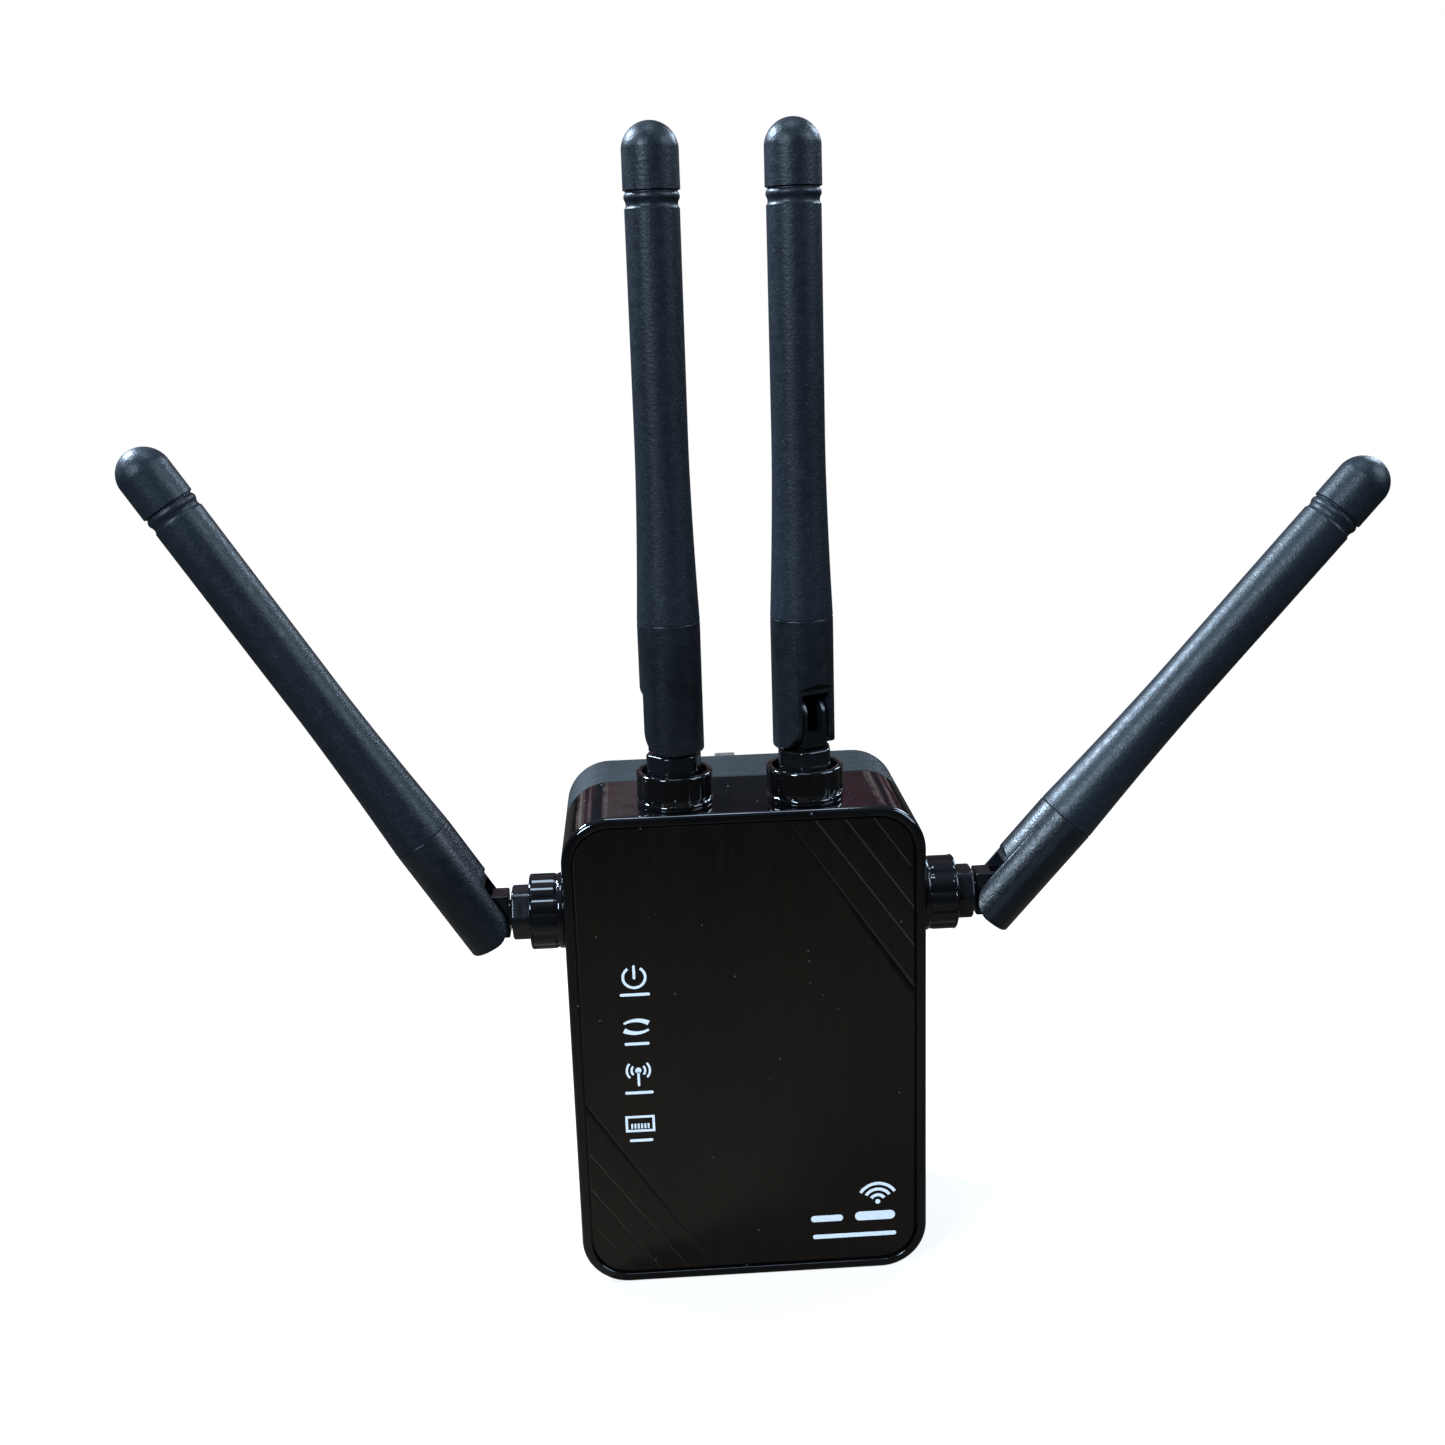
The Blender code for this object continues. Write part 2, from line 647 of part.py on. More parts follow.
def mode_knob():
    """The slide switch's knob, with grip ribs across its face; its origin is its middle."""
    side = 0.9 * MM
    knob = box((-WALL - 0.6 * MM, side), (-1.3 * MM, 1.3 * MM), (-1.8 * MM, 1.8 * MM))
    skirt = box((-WALL - 1.5 * MM, -WALL - 0.5 * MM), (-2.4 * MM, 2.4 * MM), (-4.4 * MM, 4.4 * MM))
    stem = box((-WALL - 3.8 * MM, -WALL - 1.2 * MM), (-0.8 * MM, 0.8 * MM), (-0.8 * MM, 0.8 * MM))
    knob = boolean(boolean(knob, skirt, "UNION"), stem, "UNION")
    ribs = [
        box((side - 0.3 * MM, side + OVERCUT), (-2 * MM, 2 * MM), (z - 0.25 * MM, z + 0.25 * MM))
        for z in (-1.0 * MM, 0.0, 1.0 * MM)
    ]
    return boolean(knob, joined(*ribs))


# --- Antenna pieces, in the socket's or the hinge's frame --------------------------------


def fluted_circle(z, depth):
    """Three points to a flute: two on the outer circle and one in the groove."""
    count = CUP_FLUTES * 3
    points = []
    for i in range(count):
        angle = 2 * math.pi * i / count
        radius = CUP_RADIUS - (depth if i % 3 == 1 else 0.0)
        points.append((radius * math.cos(angle), radius * math.sin(angle), z))
    return points


def antenna_collar():
    """The fixed fluted cup, with a spigot that goes through the shell's wall."""
    count = CUP_FLUTES * 3
    inner = CUP_RADIUS - CUP_WALL
    loops = [
        fluted_circle(GAP, 0.0),
        fluted_circle(1.2 * MM, 0.0),
        fluted_circle(1.5 * MM, FLUTE_DEPTH),
        fluted_circle(CUP_HEIGHT - 0.3 * MM, FLUTE_DEPTH),
        circle(CUP_RADIUS - 0.45 * MM, CUP_HEIGHT, count),
        circle(inner, CUP_HEIGHT - 0.2 * MM, count),
        circle(inner, CUP_FLOOR, count),
        circle(STEM_RADIUS + GAP, CUP_FLOOR, count),
        circle(STEM_RADIUS + GAP, -WALL, count),
        circle(SPIGOT_RADIUS, -WALL, count),
        circle(SPIGOT_RADIUS, GAP, count),
    ]
    return loft(loops, closed=True)


def knuckle():
    """The swivelling piece: grooved stem, hexagonal collar, neck and block with trunnions."""
    hex_bottom = CUP_FLOOR + GAP
    groove_top = -WALL - GAP
    groove_bottom = groove_top - CLIP_THICKNESS - GAP
    stem = turned(
        [
            (STEM_RADIUS, STEM_BOTTOM),
            (STEM_RADIUS, groove_bottom),
            (GROOVE_RADIUS, groove_bottom),
            (GROOVE_RADIUS, groove_top),
            (STEM_RADIUS, groove_top),
            (STEM_RADIUS, hex_bottom + 0.5 * MM),
        ],
        16,
    )
    collar = turned(
        [
            (HEX_RADIUS - 0.3 * MM, hex_bottom),
            (HEX_RADIUS, hex_bottom + 0.3 * MM),
            (HEX_RADIUS, HEX_TOP - 0.4 * MM),
            (HEX_RADIUS - 0.4 * MM, HEX_TOP),
        ],
        6,
    )
    neck = turned([(NECK_RADIUS, HEX_TOP - 0.5 * MM), (NECK_RADIUS, BLOCK_BOTTOM + 0.5 * MM)], 16)
    outline = [(BLOCK_HALF_DEPTH, BLOCK_BOTTOM), (BLOCK_HALF_DEPTH, PIVOT_HEIGHT)]
    for i in range(1, 9):
        angle = math.pi * i / 8
        rise = BLOCK_HALF_DEPTH * math.sin(angle)
        outline.append((BLOCK_HALF_DEPTH * math.cos(angle), PIVOT_HEIGHT + rise))
    outline.append((-BLOCK_HALF_DEPTH, BLOCK_BOTTOM))
    block = loft([[(x, y, z) for x, z in outline] for y in (BLOCK_HALF_WIDTH, -BLOCK_HALF_WIDTH)])
    body = stem
    for piece in (collar, neck, block):
        body = boolean(body, piece, "UNION")
    window = box(
        (-BLOCK_HALF_DEPTH - OVERCUT, BLOCK_HALF_DEPTH + OVERCUT),
        (-WINDOW_HALF_WIDTH, WINDOW_HALF_WIDTH),
        (PIVOT_HEIGHT - 2.2 * MM, PIVOT_HEIGHT + BLOCK_HALF_DEPTH + OVERCUT),
    )
    body = boolean(body, window)
    bore = rod(COAX_BORE, (0, 0, STEM_BOTTOM - OVERCUT), (0, 0, PIVOT_HEIGHT), 10)
    body = boolean(body, bore)
    for sign in (-1, 1):
        root = (0, sign * (BLOCK_HALF_WIDTH - 0.4 * MM), PIVOT_HEIGHT)
        end = (0, sign * TRUNNION_REACH, PIVOT_HEIGHT)
        body = boolean(body, rod(TRUNNION_RADIUS, root, end), "UNION")
    return body


def retaining_clip():
    """An open spring clip in the stem's groove, below the collar's spigot."""
    top = -WALL - GAP - GAP / 2
    bottom = top - CLIP_THICKNESS + GAP
    inner = GROOVE_RADIUS + GAP
    ring = turned([(CLIP_RADIUS, bottom), (CLIP_RADIUS, top), (inner, top), (inner, bottom)], 20, closed=True)
    mouth = box((0, CLIP_RADIUS + OVERCUT), (-1.7 * MM, 1.7 * MM), (bottom - OVERCUT, top + OVERCUT))
    return boolean(ring, mouth)


def antenna_base():
    """The forked base: a slot for the knuckle, rounded ears and a spigot for the sleeve."""
    spigot = 3.3 * MM
    bore = 1.1 * MM
    body = turned(
        [
            (BASE_RADIUS - 0.6 * MM, BASE_END),
            (BASE_RADIUS, BASE_END + 0.6 * MM),
            (BASE_RADIUS, BASE_SEAM - GAP / 2),
            (spigot, BASE_SEAM - GAP / 2),
            (spigot, BASE_SEAM + SPIGOT_LENGTH),
        ],
        24,
    )
    slot = box(
        (-BLOCK_HALF_DEPTH - GAP, BASE_RADIUS + OVERCUT),
        (-SLOT_HALF_WIDTH, SLOT_HALF_WIDTH),
        (BASE_END - OVERCUT, SLOT_TOP),
    )
    body = boolean(body, slot)
    outside = BASE_RADIUS + OVERCUT
    shaved = [(EAR_FLAT, BASE_END - OVERCUT), (outside, BASE_END - OVERCUT)]
    shaved += [(outside, EAR_FLAT_TOP + 1.9 * MM), (BASE_RADIUS, EAR_FLAT_TOP + 1.0 * MM)]
    shaved += [(EAR_FLAT, EAR_FLAT_TOP)]
    body = boolean(body, prism_y(shaved))
    centre = (EAR_FLAT - EAR_ROUND, BASE_END + EAR_ROUND)
    corner = []
    for i in range(7):
        angle = math.radians(-90 + 15 * i)
        corner.append((centre[0] + EAR_ROUND * math.cos(angle), centre[1] + EAR_ROUND * math.sin(angle)))
    corner += [(outside, centre[1]), (outside, BASE_END - OVERCUT), (centre[0], BASE_END - OVERCUT)]
    body = boolean(body, prism_y(corner))
    channel = rod(bore, (0, 0, SLOT_TOP - OVERCUT), (0, 0, BASE_SEAM + SPIGOT_LENGTH + OVERCUT), 12)
    hole_depth = TRUNNION_REACH + GAP
    pin_hole = rod(TRUNNION_RADIUS + GAP, (0, -hole_depth, 0), (0, hole_depth, 0), 16)
    return boolean(body, joined(channel, pin_hole))


def prism_y(outline):
    """A block of the given (x, z) outline that passes right through the antenna along Y."""
    reach = BASE_RADIUS + OVERCUT
    return loft([[(x, y, z) for x, z in outline] for y in (reach, -reach)])


def sleeve_radius(s):
    """The sleeve's outer radius: flared at the base, straight above."""
    if s >= FLARE_END:
        return SHAFT_RADIUS
    share = (FLARE_END - s) / (FLARE_END - BASE_SEAM)
    return SHAFT_RADIUS + (BASE_RADIUS - SHAFT_RADIUS) * share**1.6


def antenna_sleeve():
    """The soft outer sleeve, with two ring grooves and a round tip, bored for the radiator."""
    start = BASE_SEAM + GAP / 2
    outer = []
    for i in range(5):
        s = start + (FLARE_END - start) * i / 4
        outer.append((sleeve_radius(s), s))
    outer += [
        (SHAFT_RADIUS, SHAFT_END),
        (RING_GROOVE_RADIUS, (SHAFT_END + BEAD_START) / 2),
        (CAP_RADIUS - 0.1 * MM, BEAD_START),
        (CAP_RADIUS - 0.1 * MM, BEAD_END),
        (RING_GROOVE_RADIUS, (BEAD_END + CAP_START) / 2),
        (CAP_RADIUS, CAP_START),
    ]
    dome_start = ANTENNA_TIP - CAP_RADIUS
    for i in range(5):
        angle = math.radians(20 * i)
        outer.append((CAP_RADIUS * math.cos(angle), dome_start + CAP_RADIUS * math.sin(angle)))
    bore = [
        (2.4 * MM, RADIATOR_END + 2 * MM),
        (2.4 * MM, BASE_SEAM + SPIGOT_LENGTH + GAP),
        (3.3 * MM + GAP, BASE_SEAM + SPIGOT_LENGTH + GAP),
        (3.3 * MM + GAP, start),
    ]
    return loft([circle(radius, z, 18) for radius, z in bore + outer])


def radiator():
    """The coaxial feed, its metal choke and the thin whip above it."""
    return turned(
        [
            (0.75 * MM, 6.0 * MM),
            (0.75 * MM, 30 * MM),
            (1.9 * MM, 30 * MM),
            (1.9 * MM, 53 * MM),
            (0.6 * MM, 53 * MM),
            (0.6 * MM, RADIATOR_END),
        ],
        10,
    )


# --- Assembly --------------------------------------------------------------------------


def build_body(materials):
    add_object("front_shell", front_shell(), materials["gloss_black"])
    add_object("front_panel", front_panel(), materials["panel_black"])
    add_object("rear_shell", rear_shell(), materials["matte_slate"])
    add_object("port_plate", port_plate(), materials["gloss_black"])
    for name, x in (("live", LINE_PIN_X), ("neutral", -LINE_PIN_X)):
        add_object(f"{name}_pin", line_pin(x), materials["nickel"])
        add_object(f"{name}_pin_sleeve", pin_sleeve(x), materials["black_plastic"])
    add_object("earth_pin", earth_pin(), materials["nickel"])
    screw_mesh = to_mesh(case_screw(), "case_screw")
    for number, (x, z) in enumerate(screw_places(), 1):
        screw = add_copy(f"case_screw_{number}", screw_mesh, materials["steel"])
        screw.location = (x, 0, z)


def add_wire(name, curve, material):
    curve.materials.append(material)
    obj = bpy.data.objects.new(name, curve)
    bpy.context.collection.objects.link(obj)


def build_electronics(materials):
    add_object("main_board", board(MAIN_BOARD_FRONT, MAIN_BOARD_BOX), materials["board_green"])
    add_object("power_board", board(POWER_BOARD_FRONT, POWER_BOARD_BOX), materials["board_green"])
    add_object("light_guide", light_guide(), materials["clear_plastic"])
    for number, z in enumerate(ICON_Z, 1):
        add_object(f"status_light_{number}", status_light(z), materials["clear_plastic"])
    add_object("jack_left", jack(-JACK_X), materials["steel"])
    add_object("jack_right", jack(JACK_X), materials["steel"])
    add_object("shield_can", shield_can(), materials["steel"])
    add_object("board_link", board_link(), materials["black_plastic"])
    add_object("transformer", transformer(), materials["amber_tape"])
    add_object("mains_capacitor", mains_capacitor(), materials["black_plastic"])


def build_controls(materials):
    side = BODY_WIDTH / 2
    board_back = MAIN_BOARD_FRONT + BOARD_THICKNESS + GAP
    z = (CONTROL_Z - 3 * MM, CONTROL_Z + 3 * MM)
    block = box((-22.0 * MM, -16 * MM), (board_back, CONTROL_Y + 2 * MM), z)
    add_object("pairing_switch", block, materials["black_plastic"])
    button = add_object("pairing_button", pairing_button(), materials["gloss_black"])
    button.location = (-side, CONTROL_Y, CONTROL_Z)
    slot_block = box((17 * MM, 23.5 * MM), (board_back, CONTROL_Y + 2 * MM), z)
    add_object("mode_switch", slot_block, materials["black_plastic"])
    knob = add_object("mode_knob", mode_knob(), materials["gloss_black"])
    knob.location = (side, CONTROL_Y, CONTROL_Z)
    bottom = -BODY_HEIGHT / 2 + WALL
    plunger = rod(0.9 * MM, (0, 0, 0), (0, 0, 3.0 * MM), 12)
    reset = add_object("reset_button", plunger, materials["black_plastic"])
    reset.location = (0, JACK_Y, bottom + GAP)
    reset_block = box(
        (-2.2 * MM, 2.2 * MM),
        (board_back, JACK_Y + 2 * MM),
        (bottom + 4.2 * MM, bottom + 7.8 * MM),
    )
    add_object("reset_switch", reset_block, materials["black_plastic"])


def build_antennas(materials):
    collar_mesh = to_mesh(antenna_collar(), "antenna_collar")
    swivel_kit = {
        "knuckle": (to_mesh(knuckle(), "knuckle"), "black_plastic"),
        "clip": (to_mesh(retaining_clip(), "clip"), "steel"),
    }
    fold_kit = {
        "base": (to_mesh(antenna_base(), "base"), "antenna_plastic"),
        "sleeve": (to_mesh(antenna_sleeve(), "sleeve"), "antenna_rubber"),
        "radiator": (to_mesh(radiator(), "radiator"), "brass"),
    }
    for name, matrix in socket_matrices().items():
        socket = add_frame(f"{name}_socket", matrix)
        add_copy(f"{name}_collar", collar_mesh, materials["gloss_black"], socket)
        swivel = add_frame(f"{name}_swivel", Matrix.Identity(4), socket)
        for piece, (mesh, finish) in swivel_kit.items():
            add_copy(f"{name}_{piece}", mesh, materials[finish], swivel)
        turn = Matrix.Rotation(math.radians(FOLD_AT_REST[name]), 4, "Y")
        hinge = add_frame(f"{name}_fold", Matrix.Translation((0, 0, PIVOT_HEIGHT)) @ turn, swivel)
        for piece, (mesh, finish) in fold_kit.items():
            add_copy(f"{name}_{piece}", mesh, materials[finish], hinge)
        add_wire(f"{name}_lead", antenna_lead(f"{name}_lead", matrix), materials["cable_grey"])


def main():
    clear_scene()
    materials = make_materials()
    build_body(materials)
    build_electronics(materials)
    build_controls(materials)
    build_antennas(materials)


main()
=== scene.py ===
"""The looks of the wall-plug wifi range extender: fine pieces, materials, camera and light.

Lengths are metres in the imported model's frame: the origin is on the flat wall face, at the
middle of the body, +Y points into the wall, +X is right seen from the front and +Z is up.
"""

import json
from math import cos, pi, radians, sin

import bmesh
import bpy
from mathutils import Matrix, Vector


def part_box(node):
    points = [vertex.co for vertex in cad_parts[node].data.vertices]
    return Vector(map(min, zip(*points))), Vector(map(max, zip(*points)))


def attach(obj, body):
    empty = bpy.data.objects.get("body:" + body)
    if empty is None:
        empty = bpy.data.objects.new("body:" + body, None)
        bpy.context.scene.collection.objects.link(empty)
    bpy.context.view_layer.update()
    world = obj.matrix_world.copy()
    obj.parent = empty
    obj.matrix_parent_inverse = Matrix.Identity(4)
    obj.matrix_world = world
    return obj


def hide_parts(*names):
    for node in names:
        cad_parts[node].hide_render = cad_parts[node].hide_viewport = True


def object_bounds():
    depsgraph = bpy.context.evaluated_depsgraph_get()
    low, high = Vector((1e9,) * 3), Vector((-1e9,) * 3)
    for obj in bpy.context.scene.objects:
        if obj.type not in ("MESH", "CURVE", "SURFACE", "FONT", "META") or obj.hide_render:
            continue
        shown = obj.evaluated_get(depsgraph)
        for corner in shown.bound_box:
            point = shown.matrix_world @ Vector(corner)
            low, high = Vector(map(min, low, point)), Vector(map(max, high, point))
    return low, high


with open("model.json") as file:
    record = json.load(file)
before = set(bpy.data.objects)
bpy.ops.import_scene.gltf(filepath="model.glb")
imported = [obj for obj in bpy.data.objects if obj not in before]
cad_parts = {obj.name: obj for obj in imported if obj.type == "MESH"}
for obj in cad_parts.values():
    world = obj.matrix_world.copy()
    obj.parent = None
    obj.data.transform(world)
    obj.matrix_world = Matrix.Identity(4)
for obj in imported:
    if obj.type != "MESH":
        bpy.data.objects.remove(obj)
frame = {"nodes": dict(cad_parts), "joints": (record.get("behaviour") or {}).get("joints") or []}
cad_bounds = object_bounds()
SCENE = bpy.context.scene

MM = 0.001
GAP = 0.3 * MM
OVER = 0.5 * MM  # how far a cutter runs past the face it opens
SMOOTH_ANGLE = radians(40)
BEVEL_ANGLE = radians(45)

# Body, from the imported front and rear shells
SHELL_LOW, SHELL_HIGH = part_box("front_shell")
BODY_WIDTH = SHELL_HIGH.x - SHELL_LOW.x
BODY_HEIGHT = SHELL_HIGH.z - SHELL_LOW.z
BOTTOM = SHELL_LOW.z
FRONT_Y = SHELL_LOW.y
FRONT_SEAM = SHELL_HIGH.y
REAR_SEAM = FRONT_SEAM + GAP
BODY_CORNER = 8.0 * MM
CORNER_STEPS = 18
WALL = 2.0 * MM
REAR_WALL = 2.4 * MM
FRONT_EDGE_ROUND = 0.9 * MM
REAR_EDGE_ROUND = 1.2 * MM
SEAM_CHAMFER = 0.14 * MM
RIM_WIDTH = 1.65 * MM
RIM_EDGE_ROUND = 0.24 * MM
POCKET_Y = FRONT_Y + 1.6 * MM
INNER_FRONT = POCKET_Y + 1.6 * MM
POST_X = 22.8 * MM
POST_Z = 35.2 * MM
POST_RADIUS = 2.8 * MM
BOSS_RADIUS = 3.4 * MM
SOCKET_HOLE_RADIUS = 4.0 * MM
PANEL_LOW, PANEL_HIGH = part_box("front_panel")

# Ports and controls
JACK_Y = -22.0 * MM
JACK_X = 11.2 * MM
MOUTH_HALF = (6.35 * MM, 4.5 * MM)
MOUTH_LIP = 0.35 * MM
CONTROL_Y = -24.0 * MM
CONTROL_Z = -8.0 * MM
BUTTON_RADIUS = 3.0 * MM
KNOB_SLOT = (3.4 * MM, 8.6 * MM)
KNOB_SLOT_CORNER = 0.6 * MM

# Screws, vents and the windows for the status lights
PILOT_RADIUS = 1.3 * MM
PILOT_START = -27.0 * MM
VENTS = 6
VENT = (7.0 * MM, 1.3 * MM)
VENT_CORNER = 0.62 * MM
VENT_Y = -8.0 * MM
VENT_BOTTOM = -26.0 * MM
VENT_PITCH = 3.2 * MM
LIGHT_HALF = (2.5 * MM, 1.8 * MM)
ALONG_Y = Matrix.Rotation(radians(-90), 4, "X")

# Millimetres on the panel: the signs' column and rows, and each crease's start, end,
# half widths, depths and lean
ICON_X = -18.95
ICON_Z = (14.5, 5.6, -3.4, -12.3)
PANEL_CHAMFER = 0.15 * MM
# Direction of the panel's painted reflection: faces turned this way are coloured paler, as if they mirrored
# the floor.
PAINTED_REFLECTION_SIDE = (-0.83, 0.0, -0.55)
CREASES = [
    ((6.2, 42.0), (29.0, 7.9), (0.14, 0.85), (0.12, 0.50), -0.4),
    ((10.6, 42.0), (29.0, 16.2), (0.13, 0.20), (0.08, 0.12), 0.7),
    ((15.5, 42.0), (29.3, 22.5), (0.13, 0.20), (0.08, 0.12), 0.7),
    ((20.2, 42.0), (27.4, 31.8), (0.10, 0.14), (0.06, 0.08), 0.7),
]
# A jack spring's bends, (y, z) in millimetres from the port's mouth inwards
SPRING_PATH = [(-25.3, -39.2), (-25.0, -37.5), (-23.4, -32.6), (-23.5, -32.1), (-24.2, -31.4), (-25.4, -30.4)]

# Antenna pieces, heights from the face of the body or from the hinge
CUP_RADIUS = 6.35 * MM
CUP_HEIGHT = 5.8 * MM
CUP_BORE = 5.35 * MM
CUP_FLOOR = 1.6 * MM
FLUTES = 12
FLUTE_DEPTH = 0.5 * MM
FLUTE_START = radians(25)
SPIGOT_RADIUS = 3.7 * MM
STEM_RADIUS = 2.5 * MM
STEM_BOTTOM = -4.4 * MM
HEX_APOTHEM = 4.25 * MM
HEX_RADIUS = 4.6 * MM
HEX_TOP = 8.8 * MM
HEX_ROUND = ((0.0, 0.38), (0.06, 0.2), (0.2, 0.06), (0.4, 0.0))  # (inset, depth) in millimetres
NECK_RADIUS = 2.15 * MM
BLOCK_BOTTOM = 9.3 * MM
BLOCK_HALF_DEPTH = 3.7 * MM
BLOCK_HALF_WIDTH = 2.3 * MM
WINDOW_HALF_WIDTH = 1.4 * MM
TRUNNION_RADIUS = 1.0 * MM
TRUNNION_REACH = 3.9 * MM
BASE_RADIUS = 5.1 * MM
SHAFT_RADIUS = 4.25 * MM
CAP_RADIUS = 4.4 * MM
BASE_END = -5.2 * MM
BASE_SEAM = 16.4 * MM
FLARE_END = 45.0 * MM
SHAFT_END = 80.1 * MM
BEAD = (81.3 * MM, 82.3 * MM)
CAP_START = 82.8 * MM
RING_GROOVE_RADIUS = 4.0 * MM
ANTENNA_TIP = 92.83 * MM
SPIGOT_LENGTH = 4.5 * MM
SLOT_HALF_WIDTH = 2.6 * MM
SLOT_TOP = 4.15 * MM
EAR_FLAT = 3.95 * MM
EAR_FLAT_TOP = 4.9 * MM
EAR_ROUND = 4.0 * MM
CHANNEL_RADIUS = 1.1 * MM

# Stage: lights and camera in metres and degrees (pitch down, yaw right, roll)
WHITE = (1.0, 1.0, 1.0, 1.0)
FLOOR_RADIUS = 6.0
LIGHT_TARGET = (0.0, -0.02, 0.03)
LIGHT_COLOUR = (0.62, 0.80, 1.0)
CAMERA_PLACE = (-15.05 * MM, -289.5 * MM, 123.2 * MM)
CAMERA_ANGLES = (14.48, 2.74, -1.81)
CAMERA_LENS = 40.89


# --- Mesh helpers ----------------------------------------------------------------------


def to_mesh(bm, name):
    bmesh.ops.recalc_face_normals(bm, faces=bm.faces)
    mesh = bpy.data.meshes.new(name)
    bm.to_mesh(mesh)
    bm.free()
    return mesh


def merged(parts):
    """Put closed bodies into one bmesh."""
    whole = bmesh.new()
    for part in parts:
        mesh = to_mesh(part, "merged")
        whole.from_mesh(mesh)
        bpy.data.meshes.remove(mesh)
    return whole


def boolean(base, tool, operation="DIFFERENCE"):
    """Return base with tool taken away, or joined to it with UNION."""
    operands = []
    for bm in (base, tool):
        obj = bpy.data.objects.new("operand", to_mesh(bm, "operand"))
        SCENE.collection.objects.link(obj)
        operands.append(obj)
    modifier = operands[0].modifiers.new("boolean", "BOOLEAN")
    modifier.operation = operation
    modifier.solver = "EXACT"
    modifier.object = operands[1]
    evaluated = operands[0].evaluated_get(bpy.context.evaluated_depsgraph_get())
    result = bmesh.new()
    result.from_mesh(evaluated.to_mesh())
    evaluated.to_mesh_clear()
    for obj in operands:
        mesh = obj.data
        bpy.data.objects.remove(obj)
        bpy.data.meshes.remove(mesh)
    bmesh.ops.remove_doubles(result, verts=result.verts, dist=1e-7)
    return result


def loft(loops, closed=False):
    """Bridge loops of equally many points; cap the ends, or close onto the first."""
    bm = bmesh.new()
    rows = [[bm.verts.new(point) for point in loop] for loop in loops]
    count = len(rows[0])
    pairs = list(zip(rows, rows[1:]))
    if closed:
        pairs.append((rows[-1], rows[0]))
    for lower, upper in pairs:
        for i in range(count):
            j = (i + 1) % count
            bm.faces.new((lower[i], lower[j], upper[j], upper[i]))
    if not closed:
        bm.faces.new(list(reversed(rows[0])))
        bm.faces.new(rows[-1])
    return bm


def moved(bm, matrix):
    bmesh.ops.transform(bm, matrix=matrix, verts=bm.verts)
    return bm


def bevelled(bm, width):
    """Round every edge that is sharper than BEVEL_ANGLE."""
    bmesh.ops.recalc_face_normals(bm, faces=bm.faces)
    edges = [e for e in bm.edges if len(e.link_faces) == 2 and e.calc_face_angle(0.0) > BEVEL_ANGLE]
    bmesh.ops.bevel(
        bm, geom=edges, offset=width, segments=3, profile=0.5, affect="EDGES", clamp_overlap=True
    )
    return bm


def box(x, y, z):
    """A block between (low, high) pairs along each axis."""
    corners = ((x[0], y[0]), (x[1], y[0]), (x[1], y[1]), (x[0], y[1]))
    return loft([[(*corner, level) for corner in corners] for level in z])


def ring(radius_at, z, count):
    """A loop about Z whose radius follows from the angle."""
    angles = [2 * pi * i / count for i in range(count)]
    return [(radius_at(a) * cos(a), radius_at(a) * sin(a), z) for a in angles]


def circle(radius, z, count):
    return ring(lambda angle: radius, z, count)


def turned(profile, count, closed=False):
    """A body of revolution about Z from (radius, z) points; closed makes a ring."""
    return loft([circle(radius, z, count) for radius, z in profile], closed)


def rod(radius, start, end, count=40):
    start, end = Vector(start), Vector(end)
    axis = end - start
    turn = axis.to_track_quat("Z", "Y").to_matrix().to_4x4()
    bar = turned([(radius, 0.0), (radius, axis.length)], count)
    return moved(bar, Matrix.Translation(start) @ turn)


def rounded_outline(width, height, radius, steps):
    """Points of a rounded rectangle about the origin, as (across, up) pairs."""
    points = []
    for sign_x, sign_z, start in ((1, 1, 0), (-1, 1, 90), (-1, -1, 180), (1, -1, 270)):
        centre = (sign_x * (width / 2 - radius), sign_z * (height / 2 - radius))
        for i in range(steps + 1):
            angle = radians(start + 90 * i / steps)
            across, up = radius * cos(angle), radius * sin(angle)
            points.append((centre[0] + across, centre[1] + up))
    return points


def arc(count):
    """(sine, cosine) pairs over a quarter turn."""
    angles = [pi / 2 * i / count for i in range(count + 1)]
    return [(sin(angle), cos(angle)) for angle in angles]


def body_loops(levels):
    """Loops of the body's outline from (y, inset) pairs."""
    loops = []
    for y, inset in levels:
        width, height = BODY_WIDTH - 2 * inset, BODY_HEIGHT - 2 * inset
        outline = rounded_outline(width, height, BODY_CORNER - inset, CORNER_STEPS)
        loops.append([(x, y, z) for x, z in outline])
    return loops


def prism_y(outline, reach):
    """A block of the given (x, z) outline, passing through along Y."""
    return loft([[(x, y, z) for x, z in outline] for y in (reach, -reach)])


def bar_y(x, z, size, levels, radius, closed=False):
    """A rounded rectangular bar along Y at (x, z), from (y, inset) pairs; closed makes a tube."""
    loops = []
    for y, inset in levels:
        outline = rounded_outline(size[0] - 2 * inset, size[1] - 2 * inset, radius, 5)
        loops.append([(x + across, y, z + up) for across, up in outline])
    return loft(loops, closed)


# --- Materials -------------------------------------------------------------------------


def add_node(tree, kind, inputs=None, **settings):
    """Add a node of type ShaderNode + kind, each input linked to a socket or set to a value."""
    made = tree.nodes.new(f"ShaderNode{kind}")
    for key, value in settings.items():
        setattr(made, key, value)
    for key, value in (inputs or {}).items():
        if isinstance(value, bpy.types.NodeSocket):
            tree.links.new(value, made.inputs[key])
        else:
            made.inputs[key].default_value = value
    return made


